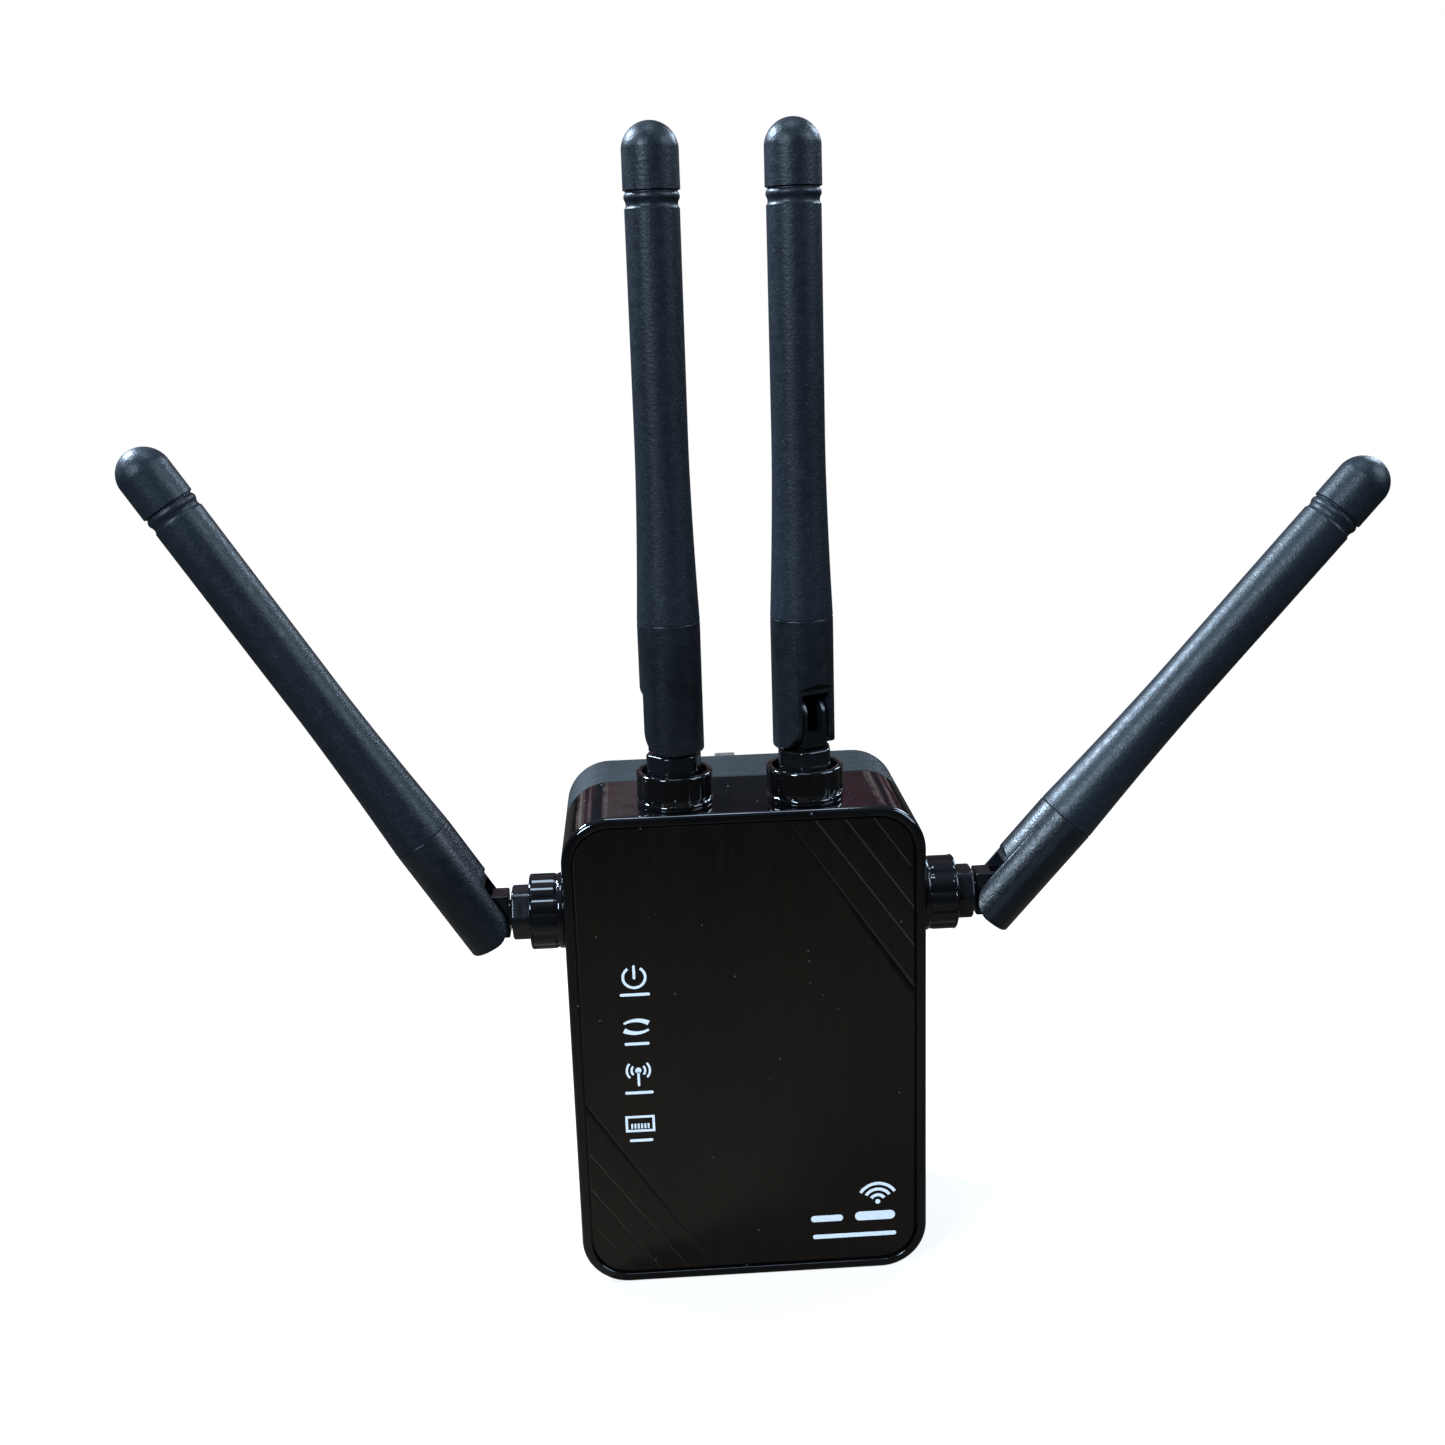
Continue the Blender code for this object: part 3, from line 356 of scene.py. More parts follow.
class Look:
    """One procedural material, with short calls for the nodes that it uses."""

    def __init__(self, name, colour, roughness, **sockets):
        self.material = bpy.data.materials.new(name)
        self.material.use_nodes = True
        self.tree = self.material.node_tree
        self.shader = self.tree.nodes["Principled BSDF"]
        self.shader.inputs["Base Color"].default_value = (*colour, 1.0)
        self.shader.inputs["Roughness"].default_value = roughness
        for socket, value in sockets.items():
            self.shader.inputs[socket.replace("_", " ")].default_value = value
        self.place = self.node("TexCoord").outputs["Object"]

    def node(self, kind, inputs=None, **settings):
        return add_node(self.tree, kind, inputs, **settings)

    def stretched(self, scale):
        return self.node("Mapping", {"Vector": self.place, "Scale": scale}).outputs["Vector"]

    def noise(self, scale, detail, place=None):
        inputs = {"Vector": place or self.place, "Scale": scale, "Detail": detail}
        return self.node("TexNoise", inputs).outputs["Fac"]

    def remap(self, value, source, target):
        inputs = {"Value": value, "From Min": source[0], "From Max": source[1]}
        inputs |= {"To Min": target[0], "To Max": target[1]}
        return self.node("MapRange", inputs).outputs["Result"]

    def math(self, operation, a, b):
        return self.node("Math", {0: a, 1: b}, operation=operation).outputs["Value"]

    def average(self, a, b):
        return self.math("MULTIPLY", self.math("ADD", a, b), 0.5)

    def mixed(self, share, a, b):
        """Mix two colours, each a triple or a socket."""
        made = self.node("Mix", {0: share}, data_type="RGBA")
        for index, colour in ((6, a), (7, b)):
            if isinstance(colour, bpy.types.NodeSocket):
                self.tree.links.new(colour, made.inputs[index])
            else:
                made.inputs[index].default_value = (*colour, 1.0)
        return made.outputs[2]

    def toned(self, value, dark, light, source=(0.35, 0.65)):
        """Two tones, from dark to light as the value crosses the source range."""
        return self.mixed(self.remap(value, source, (0, 1)), dark, light)

    def specks(self, scale, size, share):
        """1 in small spots scattered through space, of which a share is kept."""
        cells = self.node("TexVoronoi", {"Vector": self.place, "Scale": scale})
        spot = self.remap(cells.outputs["Distance"], (size, size * 0.6), (0.0, 1.0))
        keep = self.node("SeparateColor", {"Color": cells.outputs["Color"]}).outputs["Red"]
        return self.math("MULTIPLY", spot, self.math("LESS_THAN", keep, share))

    def edges(self, low, high):
        """1 on convex edges, 0 on flat faces."""
        pointiness = self.node("NewGeometry").outputs["Pointiness"]
        return self.remap(pointiness, (low, high), (0.0, 1.0))

    def paler_along_edges(self, base, low, high, colour):
        """The base colour, a little paler along convex edges."""
        return self.mixed(self.math("MULTIPLY", self.edges(low, high), 0.25), base, colour)

    def colour(self, socket):
        self.tree.links.new(socket, self.shader.inputs["Base Color"])

    def roughness(self, socket):
        self.tree.links.new(socket, self.shader.inputs["Roughness"])

    def uneven_roughness(self, scale, detail, limits):
        """Roughness that wanders between two limits."""
        self.roughness(self.remap(self.noise(scale, detail), (0.3, 0.7), limits))

    def dusty_roughness(self, rough, dust):
        """The given roughness, higher on the dust."""
        self.roughness(self.math("ADD", rough, self.math("MULTIPLY", dust, 0.4)))

    def bump(self, height, distance, normal=None):
        inputs = {"Height": height, "Distance": distance, "Strength": 1.0}
        if normal is not None:
            inputs["Normal"] = normal
        out = self.node("Bump", inputs).outputs["Normal"]
        self.tree.links.new(out, self.shader.inputs["Normal"])
        return out


def gloss_black():
    """Polished black plastic: faint moulding ripple, fine wiping marks and a little dust."""
    look = Look("gloss_black", (0.003, 0.003, 0.0035), 0.06, Specular_IOR_Level=0.5)
    dust = look.specks(420, 0.07, 0.7)
    base = look.toned(look.noise(60, 2.0), (0.0016, 0.0016, 0.0018), (0.0030, 0.0030, 0.0034))
    look.colour(look.mixed(dust, base, (0.16, 0.17, 0.18)))
    wiped = look.noise(300, 4.0, look.stretched((1.0, 1.0, 0.2)))
    look.dusty_roughness(look.remap(wiped, (0.3, 0.75), (0.035, 0.10)), dust)
    ripple = look.bump(look.noise(160, 1.0), 0.05 * MM)
    look.bump(look.noise(2600, 2.0), 0.0015 * MM, ripple)
    return look.material


def panel_black():
    """The smoked front panel: upright grain, dust, and a painted reflection that makes faces turned down
    left, chiefly the creases' lower sides, paler.
    """
    look = Look("panel_black", (0.0045, 0.0038, 0.003), 0.16, Specular_IOR_Level=0.5)
    grain = look.noise(900, 3.0, look.stretched((1.0, 1.0, 0.06)))
    tone = look.average(grain, look.noise(35, 2.0))
    base = look.toned(tone, (0.0024, 0.0016, 0.0010), (0.0048, 0.0033, 0.0021))
    # Painted reflection: faces turned down and to the left, chiefly the creases' lower sides and the chamfer,
    # are coloured paler in place of a reflection of the floor.
    normal = look.node("NewGeometry").outputs["True Normal"]
    painted_reflection_facing = look.node("VectorMath", {0: normal, 1: PAINTED_REFLECTION_SIDE}, operation="DOT_PRODUCT")
    crease = look.remap(painted_reflection_facing.outputs["Value"], (0.2, 0.34), (0, 1))
    base = look.mixed(crease, base, (0.024, 0.0195, 0.0150))
    dust = look.specks(400, 0.07, 0.35)
    look.colour(look.mixed(dust, base, (0.06, 0.058, 0.052)))
    wiped = look.noise(500, 4.0, look.stretched((1.0, 1.0, 0.1)))
    look.dusty_roughness(look.remap(wiped, (0.3, 0.7), (0.12, 0.24)), dust)
    look.bump(grain, 0.002 * MM)
    return look.material


def matte_slate():
    """Slate grey moulded plastic with a fine spark-eroded grain."""
    look = Look("matte_slate", (0.012, 0.015, 0.017), 0.55, Specular_IOR_Level=0.25)
    grain = look.noise(2300, 4.0)
    base = look.toned(look.noise(45, 3.0), (0.0075, 0.0100, 0.0108), (0.0115, 0.0150, 0.0160))
    base = look.mixed(look.remap(grain, (0.5, 0.75), (0, 0.35)), base, (0.024, 0.030, 0.032))
    look.colour(look.paler_along_edges(base, 0.53, 0.62, (0.05, 0.055, 0.06)))
    look.uneven_roughness(700, 3.0, (0.5, 0.65))
    look.bump(grain, 0.03 * MM)
    return look.material


def antenna_plastic():
    """The hinge base's plastic: near black with a soft sheen and a very fine grain."""
    look = Look("antenna_plastic", (0.009, 0.0115, 0.015), 0.38, Specular_IOR_Level=0.3)
    base = look.toned(look.noise(120, 3.0), (0.0030, 0.0042, 0.0058), (0.0055, 0.0072, 0.0092))
    look.colour(look.paler_along_edges(base, 0.54, 0.66, (0.03, 0.036, 0.043)))
    look.uneven_roughness(600, 4.0, (0.30, 0.44))
    look.bump(look.noise(2400, 2.0), 0.06 * MM)
    return look.material


def antenna_rubber():
    """The soft sleeve: sandy matte grain whose high points carry a painted sparkle, with pale dust caught in
    it.
    """
    look = Look("antenna_rubber", (0.013, 0.018, 0.023), 0.42, Specular_IOR_Level=0.25)
    grain = look.noise(2200, 2.0)
    cloud = look.noise(50, 3.0, look.stretched((1.0, 1.0, 0.4)))
    base = look.toned(cloud, (0.0050, 0.0078, 0.0108), (0.0085, 0.0122, 0.0165))
    # Painted sparkle: the grain's high points are coloured paler, standing in for light glinting on the
    # grain.
    base = look.mixed(look.remap(grain, (0.55, 0.8), (0, 0.6)), base, (0.022, 0.029, 0.037))
    look.colour(look.mixed(look.specks(520, 0.06, 0.3), base, (0.06, 0.066, 0.072)))
    look.uneven_roughness(900, 4.0, (0.36, 0.5))
    look.bump(grain, 0.06 * MM)
    return look.material


def metal(name, colour, dull, roughness, grain=(1.0, 1.0, 0.05)):
    """Plated or drawn metal with lengthwise brushing, dull patches and brighter edges."""
    look = Look(name, colour, sum(roughness) / 2, Metallic=1.0)
    brushed = look.noise(2400, 3.0, look.stretched(grain))
    patch = look.noise(180, 4.0)
    base = look.mixed(look.remap(patch, (0.4, 0.7), (0, 0.7)), colour, dull)
    bright = tuple(min(1.0, c * 1.25) for c in colour)
    look.colour(look.mixed(look.edges(0.52, 0.6), base, bright))
    look.roughness(look.remap(look.average(brushed, patch), (0.3, 0.7), roughness))
    look.bump(brushed, 0.004 * MM)
    return look.material


def board_green():
    """Circuit board: green lacquer over a faint pattern of copper tracks."""
    look = Look("board_green", (0.02, 0.13, 0.05), 0.4, Coat_Weight=0.3)
    cells = look.node("TexVoronoi", {"Vector": look.place, "Scale": 420}, distance="MANHATTAN")
    track = look.remap(cells.outputs["Distance"], (0.34, 0.38), (0, 1))
    base = look.mixed(track, (0.012, 0.10, 0.035), (0.03, 0.19, 0.07))
    look.colour(look.mixed(look.specks(600, 0.2, 0.6), base, (0.55, 0.54, 0.48)))
    look.uneven_roughness(500, 3.0, (0.3, 0.5))
    look.bump(track, 0.03 * MM)
    return look.material


def plain_plastic(name, dark, light, roughness, **sockets):
    """Moulded plastic, tape or cable jacket with a cloudy tone and a fine grain."""
    look = Look(name, light, sum(roughness) / 2, **sockets)
    look.colour(look.toned(look.noise(150, 4.0), dark, light, (0.3, 0.7)))
    look.uneven_roughness(700, 3.0, roughness)
    look.bump(look.noise(2500, 3.0), 0.01 * MM)
    return look.material


def print_ink():
    """Pale blue-white screen print, slightly uneven where the ink is thin."""
    look = Look("print_ink", (0.60, 0.72, 0.92), 0.45)
    look.colour(look.toned(look.noise(2600, 4.0), (0.86, 0.88, 0.92), (0.74, 0.76, 0.80), (0.35, 0.7)))
    look.uneven_roughness(900, 2.0, (0.38, 0.55))
    look.bump(look.noise(3000, 2.0), 0.004 * MM)
    return look.material


BUILDERS = (gloss_black, panel_black, matte_slate, antenna_plastic, antenna_rubber, board_green, print_ink)
# Each metal's colour, dull colour, roughness limits and, where it isn't upright, its grain
METALS = {
    "nickel": ((0.56, 0.55, 0.52), (0.36, 0.36, 0.35), (0.22, 0.42), (1.0, 0.05, 1.0)),
    "steel": ((0.50, 0.50, 0.51), (0.30, 0.30, 0.31), (0.25, 0.45)),
    "brass": ((0.83, 0.60, 0.26), (0.60, 0.40, 0.15), (0.18, 0.35)),
}
# Each plastic's dark and light tone and its roughness limits
PLASTICS = {
    "clear_plastic": ((0.70, 0.76, 0.80), (0.85, 0.90, 0.93), (0.1, 0.25)),
    "black_plastic": ((0.010, 0.010, 0.011), (0.018, 0.018, 0.019), (0.34, 0.5)),
    "amber_tape": ((0.42, 0.24, 0.03), (0.60, 0.38, 0.07), (0.3, 0.5)),
    "hinge_black": ((0.0022, 0.0026, 0.0032), (0.0042, 0.0048, 0.0058), (0.16, 0.28)),
    "cable_grey": ((0.14, 0.14, 0.15), (0.24, 0.24, 0.25), (0.42, 0.6)),
}
EXTRAS = {"clear_plastic": {"Transmission_Weight": 0.5}, "hinge_black": {"Specular_IOR_Level": 0.4}}
MATERIALS = {builder.__name__: builder() for builder in BUILDERS}
MATERIALS |= {name: metal(name, *values) for name, values in METALS.items()}
MATERIALS |= {name: plain_plastic(name, *values, **EXTRAS.get(name, {})) for name, values in PLASTICS.items()}


def piece(name, bm, finish, body="root", replaced=(), place=None):
    """Make a shown piece, put it on its body and hide the CAD nodes that it stands for."""
    if place is not None:
        moved(bm, place)
    mesh = to_mesh(bm, name)
    mesh.materials.append(MATERIALS[finish])
    mesh.shade_smooth()
    mesh.set_sharp_from_angle(angle=SMOOTH_ANGLE)
    obj = bpy.data.objects.new(name, mesh)
    SCENE.collection.objects.link(obj)
    normals = obj.modifiers.new("normals", "WEIGHTED_NORMAL")
    normals.keep_sharp = True
    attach(obj, body)
    if replaced:
        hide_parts(*replaced)
    return obj


# --- Body ------------------------------------------------------------------------------


def socket_frames():
    """Each antenna's socket frame, arm frame and names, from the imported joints.

    A socket's Z points out of the body, its Y is the hinge's axis and its X is the side
    that the antenna folds to. The arm frame lies on the hinge, with Z along the antenna.
    """
    joints = {joint["name"]: joint for joint in frame["joints"]}
    frames = {}
    for name in ("top_left", "top_right", "left", "right"):
        turn, fold = joints[f"{name}_turn"], joints[f"{name}_fold"]
        face, hinge = Vector(turn["pos_m"]), Vector(fold["pos_m"])
        z_axis = (hinge - face).normalized()
        y_axis = Vector(fold["axis"]).normalized()
        rotation = Matrix((y_axis.cross(z_axis), y_axis, z_axis)).transposed().to_4x4()
        socket = Matrix.Translation(face) @ rotation
        rest = Matrix.Rotation(radians(-fold["range_deg"][0]), 4, "Y")
        arm = Matrix.Translation(hinge) @ rotation @ rest
        frames[name] = (socket, arm, turn["child"], fold["child"], (hinge - face).length)
    return frames


SOCKETS = socket_frames()
SCREW_PLACES = [(x, z) for x in (-POST_X, POST_X) for z in (-POST_Z, POST_Z)]


def case_front():
    """The glossy front shell: rounded front edge, rim and the pocket that holds the panel."""
    chamfer = [(FRONT_SEAM, SEAM_CHAMFER), (FRONT_SEAM - SEAM_CHAMFER, 0.0)]
    levels = [(INNER_FRONT, WALL), (FRONT_SEAM, WALL)] + chamfer
    for sine, cosine in arc(8):
        levels.append((FRONT_Y + FRONT_EDGE_ROUND * (1 - sine), FRONT_EDGE_ROUND * (1 - cosine)))
    for sine, cosine in arc(4):
        levels.append((FRONT_Y + RIM_EDGE_ROUND * (1 - cosine), RIM_WIDTH - RIM_EDGE_ROUND * (1 - sine)))
    levels.append((POCKET_Y, RIM_WIDTH))
    shell = loft(body_loops(levels))
    posts = [rod(POST_RADIUS, (x, INNER_FRONT - OVER, z), (x, FRONT_SEAM, z)) for x, z in SCREW_PLACES]
    shell = boolean(shell, merged(posts), "UNION")
    return boolean(shell, merged(front_openings()))


def front_openings():
    """Cutters for the port notch, the controls, the screws, the status lights and the sockets."""
    side = BODY_WIDTH / 2
    notch_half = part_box("port_plate")[1].x + 0.12 * MM
    notch_z = (BOTTOM - OVER, BOTTOM + WALL + GAP)
    button = [(x, CONTROL_Y, CONTROL_Z) for x in (-side - OVER, -side + WALL + OVER)]
    cutters = [
        box((-notch_half, notch_half), (INNER_FRONT, FRONT_SEAM + OVER), notch_z),
        rod(BUTTON_RADIUS + 0.2 * MM, *button),
        side_slot((side, CONTROL_Y, CONTROL_Z), KNOB_SLOT, (WALL + OVER, -OVER), KNOB_SLOT_CORNER),
    ]
    for x, z in SCREW_PLACES:
        cutters.append(rod(PILOT_RADIUS, (x, PILOT_START, z), (x, FRONT_SEAM + OVER, z), 20))
    across = (ICON_X * MM - LIGHT_HALF[0], ICON_X * MM + LIGHT_HALF[0])
    for z in ICON_Z:
        up = (z * MM - LIGHT_HALF[1], z * MM + LIGHT_HALF[1])
        cutters.append(box(across, (POCKET_Y - OVER, INNER_FRONT + OVER), up))
    for socket, *_ in SOCKETS.values():
        cutters.append(moved(rod(SOCKET_HOLE_RADIUS, (0, 0, -WALL - OVER), (0, 0, OVER), 48), socket))
    return cutters


def side_slot(place, size, reach, corner):
    """A cutter with rounded corners through a side wall; reach is how far it goes in and out."""
    slot = bar_y(0, 0, size, [(y, 0.0) for y in reach], corner)
    return moved(slot, Matrix.Translation(place) @ Matrix.Rotation(radians(90), 4, "Z"))


def groove(start, end, half_width, depth, lean):
    """A V-shaped cutter along the panel's face, wider and deeper towards its end; millimetres.

    The V's bottom leans towards the lower left by the given share of its half width.
    """
    face = PANEL_LOW.y
    start, end = Vector(start) * MM, Vector(end) * MM
    along = (end - start).normalized()
    across = Vector((abs(along.y), abs(along.x)))
    over = 0.2 * MM
    loops = []
    for point, half, deep in ((start, half_width[0], depth[0]), (end, half_width[1], depth[1])):
        half, deep = half * MM, deep * MM
        low = point - across * half * lean
        spread = 1 + over / deep
        left = low + (point - across * half - low) * spread
        right = low + (point + across * half - low) * spread
        corners = ((left, -over), (right, -over), (low, deep))
        loops.append([(corner.x, face + y, corner.y) for corner, y in corners])
    return loft(loops)


def panel():
    """The front panel, with the slanting creases in two opposite corners."""
    margin = (BODY_WIDTH - (PANEL_HIGH.x - PANEL_LOW.x)) / 2
    levels = [(PANEL_HIGH.y, margin), (PANEL_LOW.y + PANEL_CHAMFER, margin)]
    levels.append((PANEL_LOW.y, margin + PANEL_CHAMFER))
    bm = loft(body_loops(levels))
    for start, end, half_width, depth, lean in CREASES:
        bm = boolean(bm, groove(start, end, half_width, depth, lean))
        bm = boolean(bm, groove([-c for c in start], [-c for c in end], half_width, depth, lean))
    return bm


def case_rear():
    """The slate rear shell: rounded back edge, lip, bosses, vents, pin slots and counterbores."""
    chamfer = [(REAR_SEAM, SEAM_CHAMFER), (REAR_SEAM + SEAM_CHAMFER, 0.0)]
    levels = [(-REAR_WALL, WALL), (REAR_SEAM, WALL)] + chamfer
    for sine, cosine in arc(8):
        levels.append((-REAR_EDGE_ROUND * (1 - sine), REAR_EDGE_ROUND * (1 - cosine)))
    shell = boolean(loft(body_loops(levels)), rear_lip(), "UNION")
    bosses = [rod(BOSS_RADIUS, (x, -REAR_WALL + OVER, z), (x, REAR_SEAM, z)) for x, z in SCREW_PLACES]
    shell = boolean(shell, merged(bosses), "UNION")
    return boolean(shell, merged(rear_openings()))


def rear_lip():
    """The lip that reaches into the front shell, left out behind the ports."""
    outside, inside = WALL - 0.4 * MM, WALL + 1.2 * MM
    front, back = REAR_SEAM - 1.8 * MM, REAR_SEAM + 1.5 * MM
    levels = [(REAR_SEAM, outside), (REAR_SEAM, WALL + GAP), (front, WALL + GAP)]
    levels += [(front, inside), (back, inside), (back, outside)]
    lip = loft(body_loops(levels), closed=True)
    ports = box((-22 * MM, 22 * MM), (REAR_SEAM - 3 * MM, REAR_SEAM), (-BODY_HEIGHT, -30 * MM))
    return boolean(lip, ports)


def rear_openings():
    """Cutters for the counterbored screws, the plug's pins and the vents."""
    bore = [(1.5 * MM, REAR_SEAM - 3 * MM), (1.5 * MM, -4.6 * MM)]
    bore += [(2.8 * MM, -4.6 * MM), (2.8 * MM, -0.3 * MM), (3.4 * MM, 0.3 * MM)]
    cutters = []
    for x, z in SCREW_PLACES:
        cutters.append(moved(turned(bore, 48), Matrix.Translation((x, 0, z)) @ ALONG_Y))
    through = ((OVER, 0.0), (-REAR_WALL - OVER, 0.0))
    for node in ("live_pin", "neutral_pin", "earth_pin"):
        x, z, (width, height) = pin_section(node)
        cutters.append(bar_y(x, z, (width + GAP, height + GAP), through, 0.5 * MM))
    for side in (-BODY_WIDTH / 2, BODY_WIDTH / 2):
        for i in range(VENTS):
            place = (side, VENT_Y, VENT_BOTTOM + VENT_PITCH * i)
            cutters.append(side_slot(place, VENT, (WALL + OVER, -WALL - OVER), VENT_CORNER))
    return cutters


def pin_section(node):
    """A plug pin's middle (x, z) and its (width, height)."""
    low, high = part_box(node)
    return (low.x + high.x) / 2, (low.z + high.z) / 2, (high.x - low.x, high.z - low.z)


def plug_pin(node, waist=None):
    """A plated pin with a tapered end; waist is the (end, inset) of the part under its sleeve."""
    x, z, size = pin_section(node)
    low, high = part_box(node)
    levels = [(low.y, 0.0)]
    if waist:
        end, inset = waist
        levels += [(0.0, 0.0), (0.02 * MM, inset), (end, inset), (end + 0.02 * MM, 0.0)]
    taper = ((1.7, 0.0), (0.9, 0.42), (0.25, 0.85), (0.0, 1.2))
    levels += [(high.y - back * MM, inset * MM) for back, inset in taper]
    return bar_y(x, z, size, levels, 0.35 * MM)


def pin_sleeve(node):
    """The insulating sleeve round a live or neutral pin."""
    x, z, size = pin_section(node)
    low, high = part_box(f"{node}_sleeve")
    wall = 0.35 * MM
    levels = [(low.y, 0.0), (high.y - 0.15 * MM, 0.0), (high.y, 0.12 * MM), (high.y, wall), (low.y, wall)]
    return bar_y(x, z, size, levels, 0.45 * MM, closed=True)


def case_screw():
    """A pan-head screw along +Y with a cross recess."""
    profile = [(1.0, -24.0), (1.0, -4.9), (2.3, -4.2), (2.3, -3.35), (2.15, -3.05), (1.8, -2.87), (1.2, -2.8)]
    profile = [(radius * MM, z * MM) for radius, z in profile]
    long, short = (-1.3 * MM, 1.3 * MM), (-0.3 * MM, 0.3 * MM)
    depth = (-3.6 * MM, 0.0)
    recess = boolean(box(long, short, depth), box(short, long, depth), "UNION")
    return moved(boolean(turned(profile, 48), recess), ALONG_Y)


def port_plate():
    """The plate in the body's underside, with two chamfered port mouths and a pinhole."""
    low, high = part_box("port_plate")
    slab = bevelled(box((low.x, high.x), (low.y, high.y), (low.z, high.z)), 0.12 * MM)
    cutters = [rod(1.1 * MM, (0, JACK_Y, low.z - OVER), (0, JACK_Y, high.z + OVER), 32)]
    levels = ((low.z - MOUTH_LIP, 2 * MOUTH_LIP), (low.z + MOUTH_LIP, 0.0), (high.z + OVER, 0.0))
    for x in (-JACK_X, JACK_X):
        loops = []
        for z, more in levels:
            width, depth = 2 * (MOUTH_HALF[0] + more), 2 * (MOUTH_HALF[1] + more)
            outline = rounded_outline(width, depth, 0.4 * MM + more, 6)
            loops.append([(x + across, JACK_Y + up, z) for across, up in outline])
        cutters.append(loft(loops))
    return boolean(slab, merged(cutters))


def jack_contacts(node):
    """Eight gilt springs that slant across the front side of a jack's mouth."""
    low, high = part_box(node)
    half, thick, pitch = 0.17 * MM, 0.1 * MM, 1.02 * MM
    springs = []
    for i in range(8):
        x = (low.x + high.x) / 2 + (i - 3.5) * pitch
        loops = []
        for y, z in SPRING_PATH:
            y, z = y * MM, z * MM
            corners = ((-half, -thick), (half, -thick), (half, thick), (-half, thick))
            loops.append([(x + across, y + through, z) for across, through in corners])
        springs.append(loft(loops))
    return merged(springs)


def pairing_button():
    """A round cap with a shallow dish for the fingertip, a flange and a stem."""
    low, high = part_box("pairing_button")
    flange, stem = BUTTON_RADIUS + 0.8 * MM, 1.1 * MM
    dish = ((0.25, 0.22), (1.2, 0.18), (2.1, 0.06), (2.5, 0.0), (2.8, 0.06), (2.95, 0.2))
    profile = [(radius * MM, depth * MM) for radius, depth in dish]
    profile += [(BUTTON_RADIUS, 0.4 * MM), (BUTTON_RADIUS, 2.8 * MM), (flange, 2.8 * MM)]
    profile += [(flange, 3.9 * MM), (stem, 3.9 * MM), (stem, high.x - low.x)]
    place = Matrix.Translation((low.x, CONTROL_Y, CONTROL_Z)) @ Matrix.Rotation(radians(90), 4, "Y")
    return moved(turned(profile, 56), place)


def mode_knob():
    """The slide switch's knob with rounded grip ribs, its skirt and its stem."""
    top = 0.9 * MM
    knob = bevelled(box((-WALL - 0.6 * MM, top), (-1.3 * MM, 1.3 * MM), (-1.8 * MM, 1.8 * MM)), 0.2 * MM)
    skirt = box((-WALL - 1.5 * MM, -WALL - 0.5 * MM), (-2.4 * MM, 2.4 * MM), (-4.4 * MM, 4.4 * MM))
    stem = box((-WALL - 3.8 * MM, -WALL - 1.2 * MM), (-0.8 * MM, 0.8 * MM), (-0.8 * MM, 0.8 * MM))
    knob = boolean(boolean(knob, skirt, "UNION"), stem, "UNION")
    ribs = [rod(0.26 * MM, (top, -2 * MM, z * MM), (top, 2 * MM, z * MM), 20) for z in (-1.0, 0.0, 1.0)]
    knob = boolean(knob, merged(ribs))
    return moved(knob, Matrix.Translation((BODY_WIDTH / 2, CONTROL_Y, CONTROL_Z)))


# --- Print on the panel ------------------------------------------------------------------


INK_BACK = PANEL_LOW.y + 0.01 * MM
INK_FRONT = PANEL_LOW.y - 0.03 * MM


def ink_arc(centre, radius, width, start, end, end_width=None):
    """A band of print along an arc, from start to end in degrees from +X; millimetres."""
    count = max(6, int(abs(end - start) / 7))
    full = abs(end - start) >= 360
    end_width = width if end_width is None else end_width
    loops = []
    for i in range(count if full else count + 1):
        angle = radians(start + (end - start) * i / count)
        half = (width + (end_width - width) * i / count) / 2
        corners = ((-half, INK_BACK), (half, INK_BACK), (half, INK_FRONT), (-half, INK_FRONT))
        loop = []
        for reach, y in corners:
            across, up = (radius + reach) * cos(angle), (radius + reach) * sin(angle)
            loop.append(((centre[0] + across) * MM, y, (centre[1] + up) * MM))
        loops.append(loop)
    return loft(loops, closed=full)


def ink_bar(centre, width, height, radius=None):
    """A bar of print with rounded ends; millimetres."""
    radius = min(width, height) / 2 * 0.98 if radius is None else radius
    outline = rounded_outline(width * MM, height * MM, radius * MM, 6)
    points = [(centre[0] * MM + x, centre[1] * MM + z) for x, z in outline]
    return loft([[(x, y, z) for x, z in points] for y in (INK_BACK, INK_FRONT)])


def power_mark(x, z):
    """An open ring with an upright bar in its gap."""
    return [ink_arc((x, z), 1.86, 0.44, 124, 416), ink_bar((x, z + 0.9), 0.44, 2.5)]


def pairing_mark(x, z):
    """Two opposed tapering arcs, for pairing two devices."""
    upper = ink_arc((x, z - 3.0), 4.15, 0.35, 120, 60, 0.85)
    lower = ink_arc((x, z + 3.0), 4.15, 0.35, -60, -120, 0.85)
    return [upper, lower]


def signal_mark(x, z):
    """A mast with waves on both sides."""
    marks = [ink_bar((x, z - 0.55), 0.42, 2.7), ink_arc((x, z + 1.0), 0.28, 0.5, 0, 360)]
    for radius in (1.15, 1.95):
        marks.append(ink_arc((x, z + 1.0), radius, 0.36, -42, 42))
        marks.append(ink_arc((x, z + 1.0), radius, 0.36, 138, 222))
    return marks


def port_mark(x, z):
    """The outline of a network port with its contacts."""
    marks = [ink_bar((x, z + up), 5.0, 0.42, 0.05) for up in (1.3, -1.3)]
    marks += [ink_bar((x + across, z), 0.42, 2.2, 0.05) for across in (-2.29, 2.29)]
    marks += [ink_bar((x + (i - 2.5) * 0.56, z - 0.42), 0.32, 0.9, 0.03) for i in range(6)]
    return marks


def wave_mark(x, z):
    """Three rising waves over a dot, for a wireless network."""
    marks = [ink_arc((x, z), 0.22, 0.42, 0, 360)]
    marks += [ink_arc((x, z), radius, 0.55, 32, 148) for radius in (1.3, 2.4, 3.5)]
    return marks


